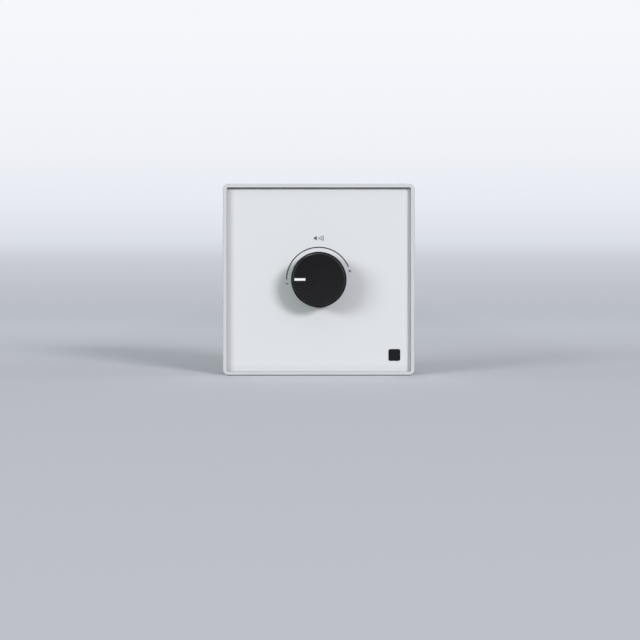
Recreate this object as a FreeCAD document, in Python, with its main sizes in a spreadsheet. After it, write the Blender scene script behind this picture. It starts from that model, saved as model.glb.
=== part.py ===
import FreeCAD, Part
import math
import os
import re

import Sketcher

# A wall volume control: a square bezel frame and face plate over a pressed steel chassis, which
# carries a rotary potentiometer, its circuit board, a pull-out plug and a rear cover.
# X points right and Z up as seen from the room, and Y points into the wall. The wall's surface is
# the plane y = 0, and the origin lies on it on the knob's axis. Lengths are in millimetres.

SIZES = {
    # bezel frame
    "frame_width": (86.0, "outer width and height of the frame"),
    "frame_depth": (10.0, "from the wall to the front of the rim"),
    "frame_corner_radius": (2.5, "outer corner radius"),
    "frame_wall": (1.0, "wall thickness behind the rim"),
    "rim_width": (1.7, "width of the rim seen from the front"),
    "rim_inner_radius": (0.8, "corner radius of the rim's opening"),
    "rim_edge_radius": (0.45, "rounding of the rim's outer edge"),
    "lip_depth": (2.5, "from the front of the rim back to the face"),
    "nib_length": (7.0, "length of a snap nib"),
    "nib_reach": (0.9, "how far a nib stands out from the frame's inside"),
    "nib_thickness": (1.0, "thickness of a nib along Y"),
    "nib_height": (2.4, "from the wall to the near side of a nib"),
    "nib_spacing": (40.0, "between the two nibs on a side"),
    "nib_clearance": (0.25, "room round a nib in its window"),
    # face plate and its markings
    "plate_thickness": (2.5, "thickness of the face plate"),
    "plate_clearance": (0.1, "gap between the plate's edge and the frame"),
    "plate_hole_diameter": (10.0, "hole for the shaft in the plate"),
    "scale_radius": (14.5, "radius of the arc scale"),
    "scale_stroke": (0.5, "width of the arc"),
    "sign_size": (1.3, "width of the minus and the plus"),
    "sign_stroke": (0.32, "stroke of the minus and the plus"),
    "sign_angle": (7.6, "from an end of the arc to its sign, in degrees"),
    "mark_depth": (0.12, "depth of the engraved, paint-filled markings"),
    "badge_size": (5.3, "width and height of the corner badge"),
    "badge_corner_radius": (0.7, "corner radius of the badge"),
    "badge_margin": (7.3, "badge centre in from the rim's opening, right and below"),
    "badge_recess": (0.3, "depth of the badge's seat"),
    "badge_thickness": (0.4, "thickness of the badge"),
    "badge_clearance": (0.05, "gap round the badge"),
    # chassis
    "chassis_clearance": (0.3, "gap between the chassis and the frame"),
    "chassis_corner_radius": (1.2, "corner radius of the chassis"),
    "sheet_thickness": (1.2, "thickness of the chassis sheet"),
    "corner_notch": (6.0, "length of each flange cut away at the corners"),
    "plate_seat_gap": (0.1, "gap between the flanges and the face plate"),
    "wall_screw_spacing": (60.3, "between the two screws to the wall box"),
    "wall_slot_width": (4.0, "width of a wall screw slot"),
    "wall_slot_length": (6.5, "overall length of a wall screw slot"),
    # potentiometer
    "turn_angle": (157.0, "travel of the knob, in degrees"),
    "bushing_diameter": (7.0, "outer diameter of the threaded bushing"),
    "bushing_length": (4.6, "from the wall plane to the bushing's front end"),
    "bushing_clearance": (0.1, "gap round the bushing in the chassis"),
    "flange_diameter": (16.0, "diameter of the bushing's flange"),
    "flange_thickness": (2.0, "thickness of that flange"),
    "flange_step_width": (0.5, "radial width of the step for the can's tabs"),
    "flange_step_depth": (0.6, "depth of that step"),
    "key_width": (2.8, "width of the key that stops the pot from turning"),
    "key_thickness": (1.2, "radial thickness of the key"),
    "key_radius": (6.6, "key centre from the axis"),
    "key_length": (1.0, "how far the key enters the chassis"),
    "key_clearance": (0.2, "gap round the key in its hole"),
    "nut_width": (10.0, "width across the flats of the bushing nut"),
    "nut_thickness": (2.0, "thickness of the nut"),
    "washer_diameter": (11.0, "outer diameter of the lock washer"),
    "washer_thickness": (0.5, "thickness of the lock washer"),
    "washer_tooth": (0.7, "radial length of a washer tooth"),
    "thread_clearance": (0.04, "radial gap drawn between a thread and its nut"),
    "can_clearance": (0.05, "radial gap between the can and the flange"),
    "can_wall": (0.4, "sheet thickness of the can"),
    "can_depth": (9.0, "from the wall plane to the back of the can"),
    "tab_width": (3.0, "width of a folded tab of the can"),
    "tab_clearance": (0.1, "gap between a tab and the flange's middle"),
    "wafer_clearance": (0.25, "gap between the wafer and the can's wall"),
    "wafer_thickness": (1.2, "thickness of the wafer"),
    "wafer_hole_diameter": (8.0, "hole in the wafer for the rotor's hub"),
    "tongue_width": (13.0, "width of the tongue that carries the terminals"),
    "tongue_reach": (12.4, "from the axis to the end of the tongue"),
    "tongue_clearance": (0.2, "gap round the tongue in the can"),
    "track_radius": (5.9, "middle radius of the resistance track"),
    "track_width": (1.4, "width of the resistance track"),
    "track_angle": (290.0, "angle that the track covers, in degrees"),
    "collector_radius": (4.55, "middle radius of the collector ring"),
    "collector_width": (0.7, "width of the collector ring"),
    "track_thickness": (0.1, "thickness of the printed tracks"),
    "terminal_pitch": (5.0, "between two terminals"),
    "terminal_width": (2.0, "width of a terminal"),
    "terminal_thickness": (0.4, "thickness of a terminal"),
    "terminal_length": (3.0, "length of a terminal along the tongue"),
    "terminal_edge": (0.5, "from a terminal's bend to the tongue's end"),
    "terminal_pin_width": (1.0, "width of the pin that enters the board"),
    "pin_tail": (1.0, "how far a pin stands out of the board"),
    "rivet_diameter": (1.0, "diameter of a terminal rivet"),
    "rivet_head_diameter": (1.9, "diameter of a rivet's head"),
    "rivet_head_thickness": (0.3, "thickness of a rivet's head"),
    "rivet_inset": (1.7, "from a terminal's bend to its rivet"),
    "shaft_diameter": (6.0, "diameter of the shaft"),
    "shaft_fit": (0.03, "radial running clearance of the shaft"),
    "shaft_flat_depth": (1.5, "depth of the flat for the knob"),
    "tang_flat_depth": (1.0, "depth of the flat for the rotor"),
    "hub_clearance": (0.3, "gap between the hub, the flange and the wafer"),
    "rotor_diameter": (13.6, "diameter of the rotor"),
    "rotor_thickness": (1.6, "thickness of the rotor"),
    "rotor_gap": (1.4, "from the tracks to the rotor's face"),
    "rotor_fit": (0.02, "gap between the shaft and what is pressed on it"),
    "lug_reach": (7.6, "from the axis to the tip of the rotor's stop lug"),
    "lug_angle": (20.0, "angle that the lug covers, in degrees"),
    "stop_reach": (7.0, "from the axis to the inside of a stop"),
    "stop_angle": (10.0, "angle that a stop covers, in degrees"),
    "stop_gap_angle": (2.0, "angle left free between lug and stop, in degrees"),
    "wiper_gap": (0.3, "gap drawn between the wiper's tips and the tracks"),
    "wiper_thickness": (0.2, "thickness of the wiper's spring sheet"),
    "wiper_arm_width": (0.7, "width of a wiper arm"),
    "wiper_arm_length": (3.0, "length of a wiper arm"),
    "groove_depth": (0.5, "depth of the circlip's groove"),
    "circlip_thickness": (0.5, "thickness of the circlip"),
    "circlip_width": (1.6, "radial width of the circlip"),
    "circlip_gap": (0.3, "from the bushing's end to the circlip's groove"),
    # knob
    "knob_gap": (0.8, "gap between the knob and the face"),
    "knob_length": (13.2, "length of the knob along its axis"),
    "knob_base_diameter": (25.0, "diameter of the knob at its base"),
    "knob_taper": (0.9, "how much less the knob's radius is at its front than at its base"),
    "knob_edge_radius": (0.5, "rounding of the knob's front edge"),
    "knob_wall": (1.5, "thickness of the knob's skirt"),
    "knob_face_thickness": (1.8, "thickness of the knob's front"),
    "boss_diameter": (9.6, "diameter of the knob's boss"),
    "boss_setback": (0.6, "from the knob's base in to the boss's end"),
    "boss_slit_width": (1.0, "width of the slit that makes the boss spring"),
    "boss_slit_length": (6.0, "length of that slit"),
    "bore_floor": (1.2, "from the bore's end to the roof of the hollow"),
    "shaft_end_gap": (0.3, "from the shaft's end to the end of the bore"),
    "pointer_length": (4.85, "length of the pointer bar"),
    "pointer_width": (1.1, "width of the pointer bar"),
    "pointer_edge_distance": (0.9, "from the pointer to the edge of the front"),
    "pointer_depth": (0.6, "depth of the pointer bar"),
    "clip_width": (4.0, "length of the boss's spring ring along the axis"),
    "clip_thickness": (0.5, "thickness of the spring ring"),
    "clip_setback": (1.0, "from the boss's end to the ring"),
    "clip_slit_width": (2.0, "opening of the spring ring"),
    # circuit board
    "board_gap": (1.0, "from the can's back to the board"),
    "board_thickness": (1.6, "thickness of the board"),
    "board_clearance": (0.5, "gap between the board and the cover's inside"),
    "board_post_gap": (0.75, "gap between the board's corner notches and the cover's posts"),
    "lead_hole_diameter": (1.6, "lead hole in the board"),
    "resistor_length": (2.0, "length of a chip resistor"),
    "resistor_width": (1.25, "width of a chip resistor"),
    "resistor_thickness": (0.5, "thickness of a chip resistor"),
    "resistor_pitch": (6.0, "between two chip resistors"),
    "resistor_drop": (4.0, "resistor row below the axis"),
    "capacitor_length": (3.2, "length of a filter capacitor"),
    "capacitor_width": (1.6, "width of a filter capacitor"),
    "capacitor_thickness": (1.3, "thickness of a filter capacitor"),
    "capacitor_pitch": (9.0, "between the two capacitors"),
    "capacitor_drop": (15.0, "capacitor row below the axis"),
    # rear cover and screws
    "cover_width": (46.0, "outer width and height of the rear cover"),
    "cover_depth": (16.5, "from the wall plane to the cover's back"),
    "cover_wall": (1.5, "wall thickness of the cover"),
    "cover_corner_radius": (2.0, "outer corner radius of the cover"),
    "cover_edge_radius": (1.0, "rounding of the cover's back edge"),
    "post_diameter": (5.5, "diameter of a corner post"),
    "post_inset": (2.2, "post centre in from the cover's inner walls"),
    "cover_screw_diameter": (2.4, "shank of a cover screw"),
    "cover_screw_length": (8.0, "shank length of a cover screw"),
    "cover_head_diameter": (4.6, "head of a cover screw"),
    "cover_head_thickness": (1.5, "head height of a cover screw"),
    "board_screw_diameter": (2.0, "shank of a board screw"),
    "board_screw_length": (4.4, "shank length of a board screw"),
    "board_head_diameter": (4.0, "head of a board screw"),
    "board_head_thickness": (0.7, "head height of a board screw"),
    "board_screw_spacing": (31.0, "between the two board screws"),
    "board_boss_diameter": (5.0, "diameter of a board boss"),
    "screw_clearance": (0.2, "radial gap round a shank in its clearance hole"),
    "recess_width": (0.5, "width of the cross recess"),
    "recess_reach": (0.6, "cross recess, as a share of its head's diameter"),
    "recess_depth": (0.5, "depth of the cross recess"),
    # header
    "header_height": (13.0, "header centre above the axis"),
    "way_pitch": (3.81, "between two ways of the header"),
    "header_side": (1.37, "header width over that of its three ways"),
    "header_thickness": (7.25, "height of the header"),
    "header_depth": (9.2, "from the board to the header's open end"),
    "header_floor": (1.2, "thickness of the header's floor"),
    "header_clearance": (0.6, "gap round the header in the cover"),
    "pin_size": (1.0, "side of a square header pin"),
    "pin_reach": (7.2, "from the board's back to the pin's tip"),
    # plug
    "plug_clearance": (0.2, "gap round the plug's nose in the header"),
    "plug_gap": (0.3, "gap between plug and header along the plug's way"),
    "nose_width": (11.1, "width of the plug's nose"),
    "nose_thickness": (4.8, "height of the plug's nose"),
    "block_side": (0.2, "plug width over that of its three ways"),
    "block_depth": (7.9, "length of the plug's block along Y"),
    "block_top": (7.1, "from the nose's middle up to the plug's top"),
    "block_bottom": (4.0, "from the nose's middle down to the plug's underside"),
    "contact_size": (2.0, "side of a contact's square tube"),
    "contact_wall": (0.25, "wall of that tube"),
    "contact_length": (6.0, "length of that tube"),
    "contact_setback": (0.5, "from the nose's end to the tube"),
    "contact_clearance": (0.1, "gap round a contact in the plug"),
    "bar_width": (1.4, "width of a contact's bar under the clamp screw"),
    "bar_thickness": (0.4, "thickness of that bar"),
    "cage_gap": (0.3, "gap round a cage in its pocket"),
    "cage_width": (2.5, "width of a wire cage"),
    "cage_depth": (3.0, "length of a wire cage along Y"),
    "cage_side_wall": (0.3, "side wall of a cage"),
    "cage_end_wall": (0.6, "top and bottom wall of a cage"),
    "cage_top": (2.6, "from the nose's middle up to the open cage's top"),
    "cage_bottom": (2.2, "from the nose's middle down to the open cage's underside"),
    "cage_travel": (1.2, "rise of a cage from open to closed"),
    "cage_distance": (4.1, "from the block's front face to the cage's middle"),
    "clamp_screw_diameter": (2.0, "shank of a clamp screw"),
    "clamp_head_diameter": (2.9, "head of a clamp screw"),
    "clamp_head_thickness": (1.6, "head height of a clamp screw"),
    "clamp_fit": (0.05, "radial running clearance of a clamp screw"),
    "clamp_head_gap": (0.2, "gap round and under a clamp screw's head"),
    "ledge_thickness": (0.4, "ledge that holds a clamp screw's head"),
    "driver_slot_width": (0.5, "width of the clamp screw's slot"),
    "driver_slot_depth": (0.8, "depth of the clamp screw's slot"),
    "wire_entry_size": (2.4, "side of a wire entry"),
    "wire_entry_drop": (0.5, "wire entry's middle below the nose's middle"),
}

WAYS = (-1, 0, 1)
SIDES = (-1, 1)
# A slot's end radius as a share of its width, a hair under a half so that its ends keep a flat.
SLOT_END = 0.4999

document = FreeCAD.newDocument("WallVolumeControl")
sheet = document.addObject("Spreadsheet::Sheet", "Sizes")
for row, (alias, (number, meaning)) in enumerate(SIZES.items(), start=1):
    sheet.set(f"A{row}", meaning)
    sheet.set(f"B{row}", str(number))
    sheet.setAlias(f"B{row}", alias)
document.recompute()

# Distances worked out from the sizes. A height is measured from the wall plane towards the room,
# and a depth from the wall plane into the wall.
OPENING = "(frame_width - 2 * rim_width)"
FRAME_INSIDE = "(frame_width - 2 * frame_wall)"
NIB_TIP = f"({FRAME_INSIDE} / 2 - nib_reach)"
FACE = "(frame_depth - lip_depth)"
PLATE_BACK = f"({FACE} - plate_thickness)"
PLATE_WIDTH = f"({FRAME_INSIDE} - 2 * plate_clearance)"
CHASSIS_WIDTH = f"({FRAME_INSIDE} - 2 * chassis_clearance)"
CHASSIS_HEIGHT = f"({PLATE_BACK} - plate_seat_gap)"
BADGE_SEAT = f"({FACE} - badge_recess)"
BADGE_OFFSET = f"({OPENING} / 2 - badge_margin)"
MARK_SEAT = f"({FACE} - mark_depth)"
NUT_BACK = "(sheet_thickness + washer_thickness)"
CAN_INSIDE = "(flange_diameter / 2 + can_clearance)"
CAN_OUTSIDE = f"({CAN_INSIDE} + can_wall)"
TAB_INSIDE = "(flange_diameter / 2 - flange_step_width + tab_clearance)"
WAFER_BACK = "(flange_thickness + wafer_thickness)"
TRACK_BACK = f"({WAFER_BACK} + track_thickness)"
ROTOR_FACE = f"({TRACK_BACK} + rotor_gap)"
ROTOR_BACK = f"({ROTOR_FACE} + rotor_thickness)"
SHAFT_BACK = f"({ROTOR_BACK} + hub_clearance)"
HUB_FRONT = "(flange_thickness + hub_clearance)"
STOP_TURN = "(turn_angle / 2 + lug_angle / 2 + stop_angle / 2 + stop_gap_angle)"
TERMINAL_BEND = "(tongue_reach - terminal_edge)"
RIVET_DROP = f"({TERMINAL_BEND} - rivet_inset)"
PIN_DROP = f"({TERMINAL_BEND} - terminal_thickness / 2)"
BOARD_FRONT = "(can_depth + board_gap)"
BOARD_BACK = f"({BOARD_FRONT} + board_thickness)"
COVER_INSIDE = "(cover_width - 2 * cover_wall)"
COVER_FLOOR = "(cover_depth - cover_wall)"
POST_OFFSET = f"({COVER_INSIDE} / 2 - post_inset)"
POST_NOTCH = f"({POST_OFFSET} - post_diameter / 2 - board_post_gap)"
KNOB_BASE = f"({FACE} + knob_gap)"
KNOB_FRONT = f"({KNOB_BASE} + knob_length)"
KNOB_ROOF = f"({KNOB_FRONT} - knob_face_thickness)"
BOSS_END = f"({KNOB_BASE} + boss_setback)"
BORE_END = f"({KNOB_ROOF} - bore_floor)"
SHAFT_FRONT = f"({BORE_END} - shaft_end_gap)"
GROOVE_BACK = "(bushing_length + circlip_gap)"
GROOVE_FRONT = f"({GROOVE_BACK} + circlip_thickness + 2 * shaft_fit)"
GROOVE_DIAMETER = "(shaft_diameter - 2 * groove_depth)"
FLAT_START = f"(({GROOVE_FRONT} + {BOSS_END}) / 2)"
KNOB_FRONT_RADIUS = "(knob_base_diameter / 2 - knob_taper)"
POINTER_OUTSIDE = f"({KNOB_FRONT_RADIUS} - pointer_edge_distance)"
HEADER_WIDTH = "(3 * way_pitch + header_side)"
HEADER_BACK = f"({BOARD_BACK} + header_depth)"
HEADER_FLOOR = f"({BOARD_BACK} + header_floor)"
BLOCK_WIDTH = "(3 * way_pitch + block_side)"
BLOCK_FRONT = f"({HEADER_BACK} + plug_gap)"
BLOCK_BACK = f"({BLOCK_FRONT} + block_depth)"
NOSE_END = f"({HEADER_FLOOR} + plug_gap)"
CONTACT_FRONT = f"({NOSE_END} + contact_setback)"
CONTACT_BACK = f"({CONTACT_FRONT} + contact_length)"
CAGE_MIDDLE = f"({BLOCK_FRONT} + cage_distance)"
BAR_TOP = "(contact_size / 2)"
BAR_BACK = f"({CAGE_MIDDLE} + cage_depth / 2)"
POCKET_TOP = "(cage_top + cage_travel + cage_gap)"
LEDGE_TOP = f"({POCKET_TOP} + ledge_thickness)"
CLAMP_HEAD = f"({LEDGE_TOP} + clamp_head_gap)"


def cells(formula):
    """Point each named size in a formula at its cell of the sheet."""
    return re.sub(r"[a-z]\w*", lambda word: f"Sizes.{word[0]}" if word[0] in SIZES else word[0], formula)


def value(formula):
    """Give the number that a formula has now."""
    return float(sheet.evalExpression(cells(formula)))


def bind(thing, name, formula):
    """Tie a property of an object to a formula."""
    thing.setExpression(name, cells(formula))


def start_body(name):
    """Start the solid of one piece."""
    body = document.addObject("PartDesign::Body", name)
    body.Label = name
    return body


def origin_part(body, role):
    """Find a plane or an axis of a body's own origin."""
    return next(part for part in body.Origin.OriginFeatures if part.Role == role)


def start_sketch(body, role, offset="0"):
    """Start a sketch on an origin plane of a body, moved along the plane's normal."""
    sketch = body.newObject("Sketcher::SketchObject", f"{body.Label}_outline")
    sketch.AttachmentSupport = [(origin_part(body, role), "")]
    sketch.MapMode = "FlatFace"
    bind(sketch, "AttachmentOffset.Base.z", offset)
    return sketch


def front_sketch(body, height):
    """Start a sketch that faces the room, at a height above the wall plane."""
    return start_sketch(body, "XZ_Plane", height)


def turn_sketch(sketch, axis, angle, offset="0"):
    """Turn a sketch about one of its own directions, keeping its offset."""
    place = FreeCAD.Vector(0, 0, value(offset))
    turned = FreeCAD.Rotation(FreeCAD.Vector(*axis), value(angle))
    sketch.AttachmentOffset = FreeCAD.Placement(place, turned)
    bind(sketch, "AttachmentOffset.Base.z", offset)
    bind(sketch, "AttachmentOffset.Rotation.Angle", angle)


def constrain(sketch, kind, *places, formula):
    """Add a dimension to a sketch and tie it to a formula."""
    number = sketch.addConstraint(Sketcher.Constraint(kind, *places, value(formula)))
    bind(sketch, f"Constraints[{number}]", formula)


def fix_point(sketch, line, end, across, up):
    """Hold a point of a sketch at a place given by two formulas."""
    constrain(sketch, "DistanceX", -1, 1, line, end, formula=across)
    constrain(sketch, "DistanceY", -1, 1, line, end, formula=up)


def draw_polygon(sketch, corners):
    """Draw a closed outline of straight lines through corners given by formulas."""
    places = [FreeCAD.Vector(value(across), value(up), 0) for across, up in corners]
    first = sketch.GeometryCount
    for number, place in enumerate(places):
        sketch.addGeometry(Part.LineSegment(place, places[(number + 1) % len(places)]))
    for number, (across, up) in enumerate(corners):
        previous = first + (number - 1) % len(corners)
        sketch.addConstraint(Sketcher.Constraint("Coincident", previous, 2, first + number, 1))
        fix_point(sketch, first + number, 1, across, up)


def draw_rectangle(sketch, width, height, across="0", up="0"):
    """Draw a rectangle about a centre."""
    left, right = f"{across} - ({width}) / 2", f"{across} + ({width}) / 2"
    low, high = f"{up} - ({height}) / 2", f"{up} + ({height}) / 2"
    draw_polygon(sketch, [(left, low), (right, low), (right, high), (left, high)])


def draw_rounded_rectangle(sketch, width, height, radius, across="0", up="0"):
    """Draw a rectangle with round corners about a centre."""
    reach_across = f"(({width}) / 2 - ({radius}))"
    reach_up = f"(({height}) / 2 - ({radius}))"
    size = value(radius)
    first = sketch.GeometryCount
    signs = [(1, 1), (-1, 1), (-1, -1), (1, -1)]
    arcs = []
    for number, (side, rise) in enumerate(signs):
        centre = FreeCAD.Vector(value(across) + side * value(reach_across),
                                value(up) + rise * value(reach_up), 0)
        circle = Part.Circle(centre, FreeCAD.Vector(0, 0, 1), size)
        arcs.append(Part.ArcOfCircle(circle, number * math.pi / 2, (number + 1) * math.pi / 2))
    for number, arc in enumerate(arcs):
        sketch.addGeometry(arc)
        sketch.addGeometry(Part.LineSegment(arc.EndPoint, arcs[(number + 1) % 4].StartPoint))
    for number, (side, rise) in enumerate(signs):
        arc, line = first + 2 * number, first + 2 * number + 1
        following = first + 2 * ((number + 1) % 4)
        fix_point(sketch, arc, 3, f"{across} + {side} * {reach_across}", f"{up} + {rise} * {reach_up}")
        constrain(sketch, "Radius", arc, formula=radius)
        sketch.addConstraint(Sketcher.Constraint("Tangent", arc, 2, line, 1))
        sketch.addConstraint(Sketcher.Constraint("Tangent", line, 2, following, 1))


def draw_circle(sketch, diameter, across="0", up="0"):
    """Draw a circle about a centre."""
    centre = FreeCAD.Vector(value(across), value(up), 0)
    circle = sketch.addGeometry(Part.Circle(centre, FreeCAD.Vector(0, 0, 1), value(diameter) / 2))
    constrain(sketch, "Diameter", circle, formula=diameter)
    fix_point(sketch, circle, 3, across, up)


def draw_slot(sketch, length, width, across, up, upright):
    """Draw a slot with round ends about a centre, lying along X or upright along Z."""
    across_size, up_size = (width, length) if upright else (length, width)
    draw_rounded_rectangle(sketch, across_size, up_size, f"{SLOT_END} * ({width})", across, up)


def draw_plus(sketch, reach, half, across, up):
    """Draw a plus about a centre, given how far its arms reach and half their width."""
    shape = [("-", half, "-", reach), ("+", half, "-", reach), ("+", half, "-", half),
             ("+", reach, "-", half), ("+", reach, "+", half), ("+", half, "+", half),
             ("+", half, "+", reach), ("-", half, "+", reach), ("-", half, "+", half),
             ("-", reach, "+", half), ("-", reach, "-", half), ("-", half, "-", half)]
    draw_polygon(sketch, [(f"{across} {side} {beside}", f"{up} {rise} {above}")
                          for side, beside, rise, above in shape])


def extrude(body, sketch, length, kind="Pad", back=False, through_middle=False):
    """Give a sketch a thickness, towards its plane's normal or back from it."""
    feature = body.newObject(f"PartDesign::{kind}", f"{body.Label}_{kind.lower()}")
    feature.Profile = (sketch, [""])
    bind(feature, "Length", length)
    feature.Reversed = back if kind == "Pad" else not back
    feature.Midplane = through_middle
    body.Tip = feature
    return feature


def pad(body, sketch, length, back=False, through_middle=False):
    """Add a thickness to a body."""
    return extrude(body, sketch, length, "Pad", back, through_middle)


def pocket(body, sketch, length, back=False):
    """Cut a thickness out of a body."""
    return extrude(body, sketch, length, "Pocket", back)


def turn(body, sketch, axis="V_Axis", angle="360", kind="Revolution", through_middle=False):
    """Turn a sketch about one of its own axes, to add or to cut."""
    feature = body.newObject(f"PartDesign::{kind}", f"{body.Label}_{kind.lower()}")
    feature.Profile = (sketch, [""])
    feature.ReferenceAxis = (sketch, [axis])
    bind(feature, "Angle", angle)
    feature.Midplane = through_middle
    body.Tip = feature
    return feature


def repeat_row(body, features, pitch, count, role="X_Axis"):
    """Repeat features in a row along an axis."""
    row = body.newObject("PartDesign::LinearPattern", f"{body.Label}_row")
    row.Originals = features
    row.Direction = (origin_part(body, role), [""])
    row.Mode = "Spacing"
    bind(row, "Offset", pitch)
    row.Occurrences = count
    body.Tip = row
    return row


def repeat_round(body, features, count, angle="360"):
    """Repeat features round the Y axis."""
    ring = body.newObject("PartDesign::PolarPattern", f"{body.Label}_ring")
    ring.Originals = features
    ring.Axis = (origin_part(body, "Y_Axis"), [""])
    bind(ring, "Angle", angle)
    ring.Occurrences = count
    body.Tip = ring
    return ring


def round_edges(body, radius, wanted):
    """Round each edge of a body whose box passes a test."""
    document.recompute()
    base = body.Tip
    names = [f"Edge{number}" for number, edge in enumerate(base.Shape.Edges, start=1)
             if wanted(edge.BoundBox)]
    fillet = body.newObject("PartDesign::Fillet", f"{body.Label}_fillet")
    fillet.Base = (base, names)
    bind(fillet, "Radius", radius)
    body.Tip = fillet


def lies_at(low, high, depth):
    """Say whether a box's sides along Y both lie at one depth."""
    return abs(low - depth) < 1e-4 and abs(high - depth) < 1e-4


# Frame: a moulded ring whose lip holds the face plate and whose nibs snap into the chassis.
frame = start_body("bezel_frame")
outline = front_sketch(frame, "0")
draw_rounded_rectangle(outline, "frame_width", "frame_width", "frame_corner_radius")
pad(frame, outline, "frame_depth")
outline = front_sketch(frame, "0")
draw_rounded_rectangle(outline, OPENING, OPENING, "rim_inner_radius")
pocket(frame, outline, "frame_depth")
outline = front_sketch(frame, "0")
draw_rounded_rectangle(outline, FRAME_INSIDE, FRAME_INSIDE, "frame_corner_radius - frame_wall")
pocket(frame, outline, FACE)
outline = front_sketch(frame, "nib_height")
nib_width = "(nib_reach + frame_wall / 2)"
nib_middle = f"({NIB_TIP} + {nib_width} / 2)"
for side in SIDES:
    for place in SIDES:
        along = f"{place} * nib_spacing / 2"
        draw_rectangle(outline, "nib_length", nib_width, along, f"{side} * {nib_middle}")
        draw_rectangle(outline, nib_width, "nib_length", f"{side} * {nib_middle}", along)
pad(frame, outline, "nib_thickness")
rim_front = -value("frame_depth")
outer_reach = value(OPENING) / 2 + value("rim_width") / 2
round_edges(frame, "rim_edge_radius",
            lambda box: lies_at(box.YMin, box.YMax, rim_front)
            and max(abs(box.XMin), abs(box.XMax), abs(box.ZMin), abs(box.ZMax)) > outer_reach)


def draw_signs(sketch):
    """Draw the minus and the plus, on the arc's circle a little beyond its two ends."""
    minus_across = "(-scale_radius * cos(sign_angle))"
    minus_up = "(-scale_radius * sin(sign_angle))"
    draw_rectangle(sketch, "sign_size", "sign_stroke", minus_across, minus_up)
    plus_across = "(-scale_radius * cos(turn_angle + sign_angle))"
    plus_up = "(scale_radius * sin(turn_angle + sign_angle))"
    draw_plus(sketch, "sign_size / 2", "sign_stroke / 2", plus_across, plus_up)


def draw_scale_section(body):
    """Draw the arc's cross-section on the nine o'clock side of the shaft."""
    section = start_sketch(body, "XY_Plane")
    draw_rectangle(section, "scale_stroke", "mark_depth", "-scale_radius", f"-{FACE} + mark_depth / 2")
    return section


# Face plate: a moulded plate held behind the frame's lip, with its markings engraved.
plate = start_body("front_plate")
outline = front_sketch(plate, PLATE_BACK)
draw_rounded_rectangle(outline, PLATE_WIDTH, PLATE_WIDTH,
                       "frame_corner_radius - frame_wall - plate_clearance")
pad(plate, outline, "plate_thickness")
outline = front_sketch(plate, PLATE_BACK)
draw_circle(outline, "plate_hole_diameter")
pocket(plate, outline, "plate_thickness")
outline = front_sketch(plate, BADGE_SEAT)
seat_width = "badge_size + 2 * badge_clearance"
draw_rounded_rectangle(outline, seat_width, seat_width, "badge_corner_radius + badge_clearance",
                       BADGE_OFFSET, f"-{BADGE_OFFSET}")
pocket(plate, outline, "badge_recess")
outline = front_sketch(plate, MARK_SEAT)
draw_signs(outline)
pocket(plate, outline, "mark_depth")
turn(plate, draw_scale_section(plate), angle="turn_angle", kind="Groove")

# Markings: paint that fills the engraved arc, minus and plus.
marks = start_body("scale_marks")
outline = front_sketch(marks, MARK_SEAT)
draw_signs(outline)
pad(marks, outline, "mark_depth")
turn(marks, draw_scale_section(marks), angle="turn_angle")

# Badge: a plain dark square let into the lower right corner of the face.
badge = start_body("corner_badge")
outline = front_sketch(badge, BADGE_SEAT)
draw_rounded_rectangle(outline, "badge_size", "badge_size", "badge_corner_radius",
                       BADGE_OFFSET, f"-{BADGE_OFFSET}")
pad(badge, outline, "badge_thickness")

# Chassis: a pressed tray with windows for the nibs, slots for the wall screws and the pot's holes.
chassis = start_body("mounting_chassis")
outline = front_sketch(chassis, "0")
draw_rounded_rectangle(outline, CHASSIS_WIDTH, CHASSIS_WIDTH, "chassis_corner_radius")
pad(chassis, outline, CHASSIS_HEIGHT)
outline = front_sketch(chassis, "sheet_thickness")
tray_inside = f"({CHASSIS_WIDTH} - 2 * sheet_thickness)"
draw_rectangle(outline, tray_inside, tray_inside)
pocket(chassis, outline, CHASSIS_HEIGHT)
outline = front_sketch(chassis, "sheet_thickness")
for side in SIDES:
    for rise in SIDES:
        draw_rectangle(outline, "2 * corner_notch", "2 * corner_notch",
                       f"{side} * {CHASSIS_WIDTH} / 2", f"{rise} * {CHASSIS_WIDTH} / 2")
pocket(chassis, outline, CHASSIS_HEIGHT)
outline = front_sketch(chassis, "nib_height - nib_clearance")
window_length = "nib_length + 2 * nib_clearance"
window_middle = f"({CHASSIS_WIDTH} / 2 - sheet_thickness / 2)"
for side in SIDES:
    for place in SIDES:
        along = f"{place} * nib_spacing / 2"
        draw_rectangle(outline, window_length, "2 * sheet_thickness", along, f"{side} * {window_middle}")
        draw_rectangle(outline, "2 * sheet_thickness", window_length, f"{side} * {window_middle}", along)
pocket(chassis, outline, "nib_thickness + 2 * nib_clearance")
outline = front_sketch(chassis, "0")
draw_circle(outline, "bushing_diameter + 2 * bushing_clearance")
draw_rectangle(outline, "key_width + 2 * key_clearance", "key_thickness + 2 * key_clearance",
               up="key_radius")
for side in SIDES:
    place = f"{side} * wall_screw_spacing / 2"
    draw_slot(outline, "wall_slot_length", "wall_slot_width", place, "0", upright=False)
    draw_slot(outline, "wall_slot_length", "wall_slot_width", "0", place, upright=True)
    for rise in SIDES:
        draw_circle(outline, "cover_screw_diameter + 2 * screw_clearance",
                    f"{side} * {POST_OFFSET}", f"{rise} * {POST_OFFSET}")
pocket(chassis, outline, "sheet_thickness")

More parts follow.
